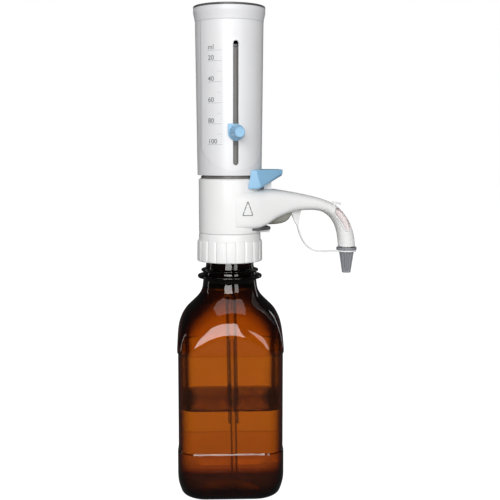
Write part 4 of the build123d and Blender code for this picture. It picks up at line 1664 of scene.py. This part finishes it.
    def make_lines(self) -> None:
        """Prints the graduation: a long line each 20, shorter ones each 10 and 2."""
        whole = bmesh.new()
        zero = self.high - self.zero_below_top
        for value in range(10, 101, 2):
            if value == 10 or value % 20 == 0:
                start, thick = self.line_start, 0.17
            elif value % 10 == 0:
                start, thick = self.line_end - 4.4, 0.13
            else:
                start, thick = self.line_end - 1.7, 0.08
            length = self.line_end - start
            bar = bmesh.new()
            bmesh.ops.create_grid(bar, x_segments=max(int(length), 2), y_segments=1, size=0.5)
            bmesh.ops.scale(bar, vec=(length, thick, 1.0), verts=bar.verts)
            body = bmesh.ops.extrude_face_region(bar, geom=bar.faces[:])["geom"]
            raised = [item for item in body if isinstance(item, bmesh.types.BMVert)]
            bmesh.ops.translate(bar, vec=(0.0, 0.0, 0.05), verts=raised)
            self.wrap(bar, (start + self.line_end) / 2, zero - self.rise_per_ml * value)
            flat = bpy.data.meshes.new("bar")
            bar.to_mesh(flat)
            bar.free()
            whole.from_mesh(flat)
            bpy.data.meshes.remove(flat)
        bmesh.ops.recalc_face_normals(whole, faces=whole.faces)
        settle(whole, "scale_lines", Body.PLUNGER, INK)

    def make_numerals(self) -> None:
        """Prints the unit over the first line and the numbers over theirs."""
        zero = self.high - self.zero_below_top
        for label, value in (("ml", 10), ("20", 20), ("40", 40), ("60", 60), ("80", 80), ("100", 100)):
            text = bpy.data.curves.new(f"print_{label}", "FONT")
            text.body = label
            text.size = self.numeral_size
            text.extrude = self.numeral_rise
            text.offset = self.numeral_weight
            helper = bpy.data.objects.new(f"print_{label}", text)
            bpy.context.scene.collection.objects.link(helper)
            bpy.context.view_layer.update()
            graph = bpy.context.evaluated_depsgraph_get()
            flat = bpy.data.meshes.new_from_object(helper.evaluated_get(graph))
            bpy.data.objects.remove(helper)
            bm = bmesh.new()
            bm.from_mesh(flat)
            bpy.data.meshes.remove(flat)
            bmesh.ops.triangulate(bm, faces=bm.faces[:])
            clean(bm)
            for vert in bm.verts:
                vert.co.x *= self.numeral_width
            self.wrap(bm, self.line_start + 0.1, zero - self.rise_per_ml * value + 0.9, 0.06)
            settle(bm, f"scale_number_{label}", Body.PLUNGER, INK)

    def make_top(self) -> None:
        """Builds the flared ring and the dark cap on it."""
        ring = span("top_ring")
        foot = self.top_radius
        edge = ring.radius
        low = ring.low.z
        high = ring.high.z
        profile = rounded(
            [
                (foot - 2.4, low + 0.05, 0),
                (foot - 0.25, low + 0.05, 0.15),
                (foot + 0.1, low + 0.5, 0.4),
                (foot + 0.45, low + 3.0, 6.0),
                (edge, low + 7.6, 5.0),
                (edge, high - 0.05, 0.3),
                (edge - 3.2, high - 0.05, 0),
                (edge - 3.2, low + 4, 0.5),
                (foot - 2.4, low + 2, 0.5),
            ],
            6,
        )
        settle(turned(profile, 192), "flared_ring", Body.PLUNGER, PEARL, ["top_ring"], sharp=40.0)
        cap = span("top_cap")
        crown = cap.high.z
        stem = span("piston_rod").radius + 0.1
        under = crown - 1.8
        outline = rounded(
            [
                (0.0, crown - 0.25, 0),
                (edge - 4.4, crown - 0.25, 0.5),
                (edge - 3.9, crown, 0.5),
                (edge, crown, 0.8),
                (edge, under, 0.25),
                (edge - 3.3, under, 0.2),
                (edge - 3.3, under - 3, 0.3),
                (edge - 5.3, under - 3, 0.3),
                (edge - 5.3, under, 0.5),
                (stem + 3, under, 0.5),
                (stem + 3, cap.low.z, 0.3),
                (stem, cap.low.z, 0.2),
                (stem, under - 1, 0),
                (0.0, under - 1, 0),
            ],
            5,
        )
        settle(turned(outline, 192, closed=False), "dark_top", Body.PLUNGER, DARK, ["top_cap"], sharp=35.0)

    def build(self) -> None:
        """Builds the housing."""
        self.make_shell()
        self.make_panel()
        self.make_slot_rim()
        self.make_lines()
        self.make_numerals()
        self.make_top()


# ---------------------------------------------------------------- volume stop


@dataclass
class VolumeStop:
    """The pointer plate on the slot and its ribbed knob."""

    ribs: int = 14
    per_rib: int = 12
    rib_depth: float = 0.8
    pocket_depth: float = 2.0
    pocket_tip: float = 1.2
    plate_radius: float = 6.9

    def make_plate(self) -> None:
        """Builds the drop-shaped plate whose tip points at the scale."""
        box = span("pointer_plate")
        centre = Vector((0.0, box.low.z + self.plate_radius))
        outline: list[Pair] = []
        radius = self.plate_radius
        for index in range(73):
            angle = math.pi + math.radians(270) * index / 72
            outline.append((radius * math.cos(angle), centre.y + radius * math.sin(angle)))
        high = centre.y + radius
        tip = rounded([(0.0, high, 0), (-radius, high, 0.9), (-radius, centre.y, 0)], 6)
        outline += tip[1:-1]
        bm = prism(outline, box.low.y, box.high.y)
        eased(bm, 0.45, 60.0)
        bore = span("stop_stud").radius + 0.1
        hole = turned([(0.0, -1.0), (bore, -1.0), (bore, 6.0), (0.0, 6.0)], 48, closed=False)
        turn = Matrix.Rotation(math.radians(90), 3, "X")
        bmesh.ops.rotate(hole, cent=(0, 0, 0), matrix=turn, verts=hole.verts)
        bmesh.ops.translate(hole, vec=(0.0, box.high.y + 1.0, centre.y), verts=hole.verts)
        settle(combined(bm, hole, "DIFFERENCE"), "pointer", Body.STOP, BLUE, ["pointer_plate"])

    def knob_rim(self, size: float, strength: float) -> Rim:
        """A round rim with ribs; strength 1 gives them their full depth."""

        def reach(angle: float) -> float:
            """The distance at an angle."""
            wave = 0.5 - 0.5 * math.cos(angle * self.ribs)
            return size - strength * self.rib_depth * wave**0.8

        return reach

    def make_knob(self) -> None:
        """Builds the knob: ribs that taper to a plain round end."""
        box = span("stop_knob")
        length = box.high.y - box.low.y
        radius = box.radius
        bore = span("stop_stud").radius + 0.15

        levels = [
            (0.0, bore, 0.0),
            (0.0, radius + 0.55, 0.0),
            (0.25, radius + 0.85, 0.0),
            (1.1, radius + 0.85, 0.0),
            (1.5, radius + 0.7, 0.2),
            (2.2, radius + 0.55, 1.0),
            (length - 4.6, radius + 0.05, 1.0),
            (length - 3.8, radius - 0.35, 0.5),
            (length - 3.4, radius - 0.75, 0.0),
            (length - 3.1, radius - 0.95, 0.0),
            (length - 0.8, radius - 1.0, 0.0),
            (length - 0.25, radius - 1.15, 0.0),
            (length, radius - 1.55, 0.0),
            (length - 0.12, radius - 2.4, 0.0),
            (length - 0.2, self.pocket_tip, 0.0),
        ]
        segments = self.ribs * self.per_rib
        rings = []
        for height, size, strength in levels:
            rings.append(level_ring(height, self.knob_rim(size, strength), segments))
        pocket = length - self.pocket_depth
        inner = [level_ring(pocket, self.knob_rim(size, 0.0), segments) for size in (self.pocket_tip, bore)]
        bm = lofted(inner[::-1] + rings, capped=False)
        for edge_ring in (rings[-1], inner[0]):
            near = []
            for edge in bm.edges:
                if edge.is_boundary and all(abs((vert.co - edge_ring[0]).z) < 1e-3 for vert in edge.verts):
                    near.append(edge)
            if near:
                bmesh.ops.contextual_create(bm, geom=near)
        clean(bm)
        bmesh.ops.rotate(bm, cent=(0, 0, 0), matrix=Matrix.Rotation(math.radians(90), 3, "X"), verts=bm.verts)
        bmesh.ops.translate(bm, vec=(0.0, box.high.y, box.middle.z), verts=bm.verts)
        settle(bm, "ribbed_knob", Body.KNOB, BLUE, ["stop_knob"], sharp=40.0)

    def build(self) -> None:
        """Builds the stop's visible pieces."""
        self.make_plate()
        self.make_knob()


# ---------------------------------------------------------------- valve lever


@dataclass
class ValveLever:
    """The faceted blue lever over the arm's root."""

    back: float = 10.0
    low_half: float = 25.6
    low_shoulder: float = 21.6
    high_half: float = 24.2
    high_shoulder: float = 18.0
    nose_half: float = 8.0
    nose_rise: float = 10.4
    inner: float = 27.7
    relief: float = 1.5
    relief_half: float = 19.0
    relief_rise: float = 1.8
    notch_reach: float = 4.0
    notch_rise: float = 3.5
    notch_half: float = 6.4
    round_edge: float = 0.55
    under_edge: float = 1.3

    def outline(self, half: float, shoulder: float, nose: float, height: float) -> list[Vector]:
        """The lever seen from above."""
        corners = [
            (self.back, half), (shoulder, half), (nose, self.nose_half),
            (nose, -self.nose_half), (shoulder, -half), (self.back, -half),
        ]
        return [Vector((x, y, height)) for x, y in corners]

    def trim(self, bm: bmesh.types.BMesh, place: Vector, normal: Vector) -> None:
        """Cuts away what lies outside a plane and closes the cut.

        Args:
            bm: The closed mesh that is cut.
            place: A spot on the plane.
            normal: The plane's direction, towards the side that goes.
        """
        cut = bmesh.ops.bisect_plane(
            bm,
            geom=bm.verts[:] + bm.edges[:] + bm.faces[:],
            plane_co=place,
            plane_no=normal,
            clear_outer=True,
        )
        edges = [item for item in cut["geom_cut"] if isinstance(item, bmesh.types.BMEdge)]
        bmesh.ops.contextual_create(bm, geom=edges)

    def build(self) -> None:
        """Builds the lever."""
        box = span("valve_lever")
        low, high, nose = box.low.z, box.high.z, box.high.x
        pivot = span("lever_pin").middle
        bm = lofted(
            [
                self.outline(self.low_half, self.low_shoulder, nose, low),
                self.outline(self.high_half, self.high_shoulder, nose, high),
            ]
        )
        rise = self.nose_rise / (nose - self.low_shoulder)
        self.trim(bm, Vector((self.low_shoulder, 0.0, low)), Vector((rise, 0.0, -1.0)))
        clean(bm)
        for side in (-1, 1):
            narrowing = self.low_half - self.nose_half
            flank = Vector((narrowing, side * (nose - self.low_shoulder), 0.0)).normalized()
            slope = Vector((rise, 0.0, -1.0)).normalized()
            lean = (flank + slope).normalized()
            corner = Vector((nose, side * self.nose_half, low + self.nose_rise))
            self.trim(bm, corner - self.under_edge * lean, lean)
        clean(bm)
        eased(bm, self.round_edge, 12.0, 4)
        room = [(0.0, low - 2), (self.inner, low - 2), (self.inner, high + 2), (0.0, high + 2)]
        bm = combined(bm, turned(room, 192, closed=False), "DIFFERENCE")
        wide = self.inner + self.relief
        relief_top = pivot.z + self.relief_rise
        room = [(0.0, low - 2), (wide, low - 2), (wide, relief_top), (0.0, relief_top)]
        band_top = pivot.z + 5
        band = slab([(0.0, low - 3), (40.0, low - 3), (40.0, band_top), (0.0, band_top)], self.relief_half)
        relief = combined(turned(room, 192, closed=False), band, "INTERSECT")
        bm = combined(bm, relief, "DIFFERENCE")
        reach = pivot.x + self.notch_reach
        top = pivot.z + self.notch_rise
        notch = slab([(20.0, low - 2), (reach, low - 2), (reach, top), (20.0, top)], self.notch_half)
        bm = combined(bm, notch, "DIFFERENCE")
        settle(bm, "rocker_lever", Body.LEVER, BLUE, ["valve_lever"], sharp=30.0)


# ---------------------------------------------------------------- set


SPECIAL_FINISHES: dict[str, Finish] = {
    "cylinder_sleeve": SLEEVE,
    "fill_tube": CLEAR_TUBE,
    "suction_tube": CLEAR_TUBE,
    "return_tube": CLEAR_TUBE,
}


def dress_cad_nodes() -> None:
    """Gives every CAD node that stays visible its finish."""
    record = frame["record"]
    slots = {entry["node"]: entry["material_slot"] for entry in record["subparts"]}
    for name, node in frame["nodes"].items():
        finish = SPECIAL_FINISHES.get(name, CAD_FINISHES[slots[name]])
        node.data.materials.clear()
        node.data.materials.append(finish.material())


@dataclass(frozen=True)
class Lamp:
    """One soft box: where it hangs in metres, its width and height, and its watts."""

    name: str
    place: tuple[float, float, float]
    size: Pair
    power: float


@dataclass
class Studio:
    """A pale floor, soft lights and the camera; its lengths are metres."""

    distance: float = 0.785
    aim_right: float = 0.0173
    eye_height: float = 0.293
    azimuth: float = 12.2
    pitch: float = 6.18
    lens: float = 66.5
    world_seen: float = 1.0
    world_glossy: float = 0.035
    world_diffuse: float = 0.10
    floor_glow: float = 0.98
    floor_bounce: float = 0.06
    aim_height: float = 0.25
    lamps: tuple[Lamp, ...] = (
        Lamp("key", (-0.42, -1.33, 0.66), (0.8, 0.9), 15.5),
        Lamp("front", (0.42, -1.35, 0.5), (0.4, 0.7), 3.6),
        Lamp("left_rim", (-1.1, 0.5, 0.35), (0.1, 0.8), 0.5),
        Lamp("right_rim", (1.1, 0.7, 0.35), (0.1, 0.8), 0.5),
        Lamp("top", (0.0, 0.1, 1.7), (1.4, 1.4), 7.5),
    )

    def make_floor(self) -> None:
        """Lays a flat floor."""
        bm = bmesh.new()
        bmesh.ops.create_grid(bm, x_segments=2, y_segments=2, size=6.0)
        mesh = bpy.data.meshes.new("floor")
        bm.to_mesh(mesh)
        bm.free()
        floor = bpy.data.objects.new("floor", mesh)
        bpy.context.scene.collection.objects.link(floor)
        material = bpy.data.materials.new("floor")
        material.use_nodes = True
        shader = next(node for node in material.node_tree.nodes if node.type == "BSDF_PRINCIPLED")
        shader.inputs["Roughness"].default_value = 0.75
        shader.inputs["Specular IOR Level"].default_value = 0.1
        shader.inputs["Emission Color"].default_value = (1.0, 1.0, 1.0, 1.0)
        tree = material.node_tree
        path = tree.nodes.new("ShaderNodeLightPath")
        seen = tree.nodes.new("ShaderNodeMath")
        seen.operation = "MAXIMUM"
        tree.links.new(path.outputs["Is Camera Ray"], seen.inputs[0])
        tree.links.new(path.outputs["Is Transmission Ray"], seen.inputs[1])
        shade = tree.nodes.new("ShaderNodeMix")
        shade.data_type = "RGBA"
        shade.inputs[6].default_value = (0.5, 0.5, 0.5, 1.0)
        shade.inputs[7].default_value = (0.04, 0.04, 0.04, 1.0)
        tree.links.new(path.outputs["Is Glossy Ray"], shade.inputs[0])
        tree.links.new(shade.outputs[2], shader.inputs["Base Color"])
        glow = tree.nodes.new("ShaderNodeMapRange")
        glow.inputs["To Min"].default_value = self.floor_bounce
        glow.inputs["To Max"].default_value = self.floor_glow
        tree.links.new(seen.outputs["Value"], glow.inputs["Value"])
        tree.links.new(glow.outputs["Result"], shader.inputs["Emission Strength"])
        mesh.materials.append(material)

    def make_world(self) -> None:
        """Fills the surroundings: white behind the object, dim in what it reflects."""
        world = bpy.data.worlds.new("studio")
        world.use_nodes = True
        tree = world.node_tree
        sky = next(node for node in tree.nodes if node.type == "BACKGROUND")
        sky.inputs["Color"].default_value = (1.0, 1.0, 1.0, 1.0)
        path = tree.nodes.new("ShaderNodeLightPath")
        glossy = tree.nodes.new("ShaderNodeMix")
        glossy.data_type = "FLOAT"
        glossy.inputs[2].default_value = self.world_seen
        glossy.inputs[3].default_value = self.world_glossy
        tree.links.new(path.outputs["Is Glossy Ray"], glossy.inputs[0])
        diffuse = tree.nodes.new("ShaderNodeMix")
        diffuse.data_type = "FLOAT"
        diffuse.inputs[3].default_value = self.world_diffuse
        tree.links.new(path.outputs["Is Diffuse Ray"], diffuse.inputs[0])
        tree.links.new(glossy.outputs[0], diffuse.inputs[2])
        tree.links.new(diffuse.outputs[0], sky.inputs["Strength"])
        scene = bpy.context.scene
        scene.world = world
        scene.view_settings.view_transform = "Standard"
        scene.cycles.max_bounces = 24
        scene.cycles.transmission_bounces = 24

    def add_light(self, lamp: Lamp) -> None:
        """Hangs one soft box that faces the object.

        Args:
            lamp: The light's name, place, size and power.
        """
        data = bpy.data.lights.new(lamp.name, "AREA")
        data.shape = "RECTANGLE"
        data.size = lamp.size[0]
        data.size_y = lamp.size[1]
        data.energy = lamp.power
        light = bpy.data.objects.new(lamp.name, data)
        light.location = lamp.place
        target = Vector((0.0, 0.0, self.aim_height))
        light.rotation_euler = (target - Vector(lamp.place)).to_track_quat("-Z", "Y").to_euler()
        bpy.context.scene.collection.objects.link(light)

    def make_camera(self) -> None:
        """Sets the camera level with the block, a little to the left of the slot."""
        turn = math.radians(self.azimuth)
        ahead = Vector((math.sin(turn), math.cos(turn), 0.0))
        right = Vector((math.cos(turn), -math.sin(turn), 0.0))
        place = -self.distance * ahead + self.aim_right * right + Vector((0, 0, self.eye_height))
        down = math.radians(self.pitch)
        look = ahead * math.cos(down) - Vector((0, 0, 1)) * math.sin(down)
        data = bpy.data.cameras.new("camera")
        data.lens = self.lens
        data.clip_start = 0.01
        camera = bpy.data.objects.new("camera", data)
        camera.location = place
        camera.rotation_euler = look.to_track_quat("-Z", "Y").to_euler()
        bpy.context.scene.collection.objects.link(camera)
        bpy.context.scene.camera = camera

    def build(self) -> None:
        """Sets the whole studio up."""
        self.make_floor()
        self.make_world()
        for lamp in self.lamps:
            self.add_light(lamp)
        self.make_camera()


def main() -> None:
    """Builds every sub-assembly in order."""
    Studio().build()
    dress_cad_nodes()
    Bottle().build()
    ScrewCollar().build()
    ValveBlock().build()
    NozzleCap().build()
    PistonHousing().build()
    VolumeStop().build()
    ValveLever().build()


if __name__ == "__main__":
    main()
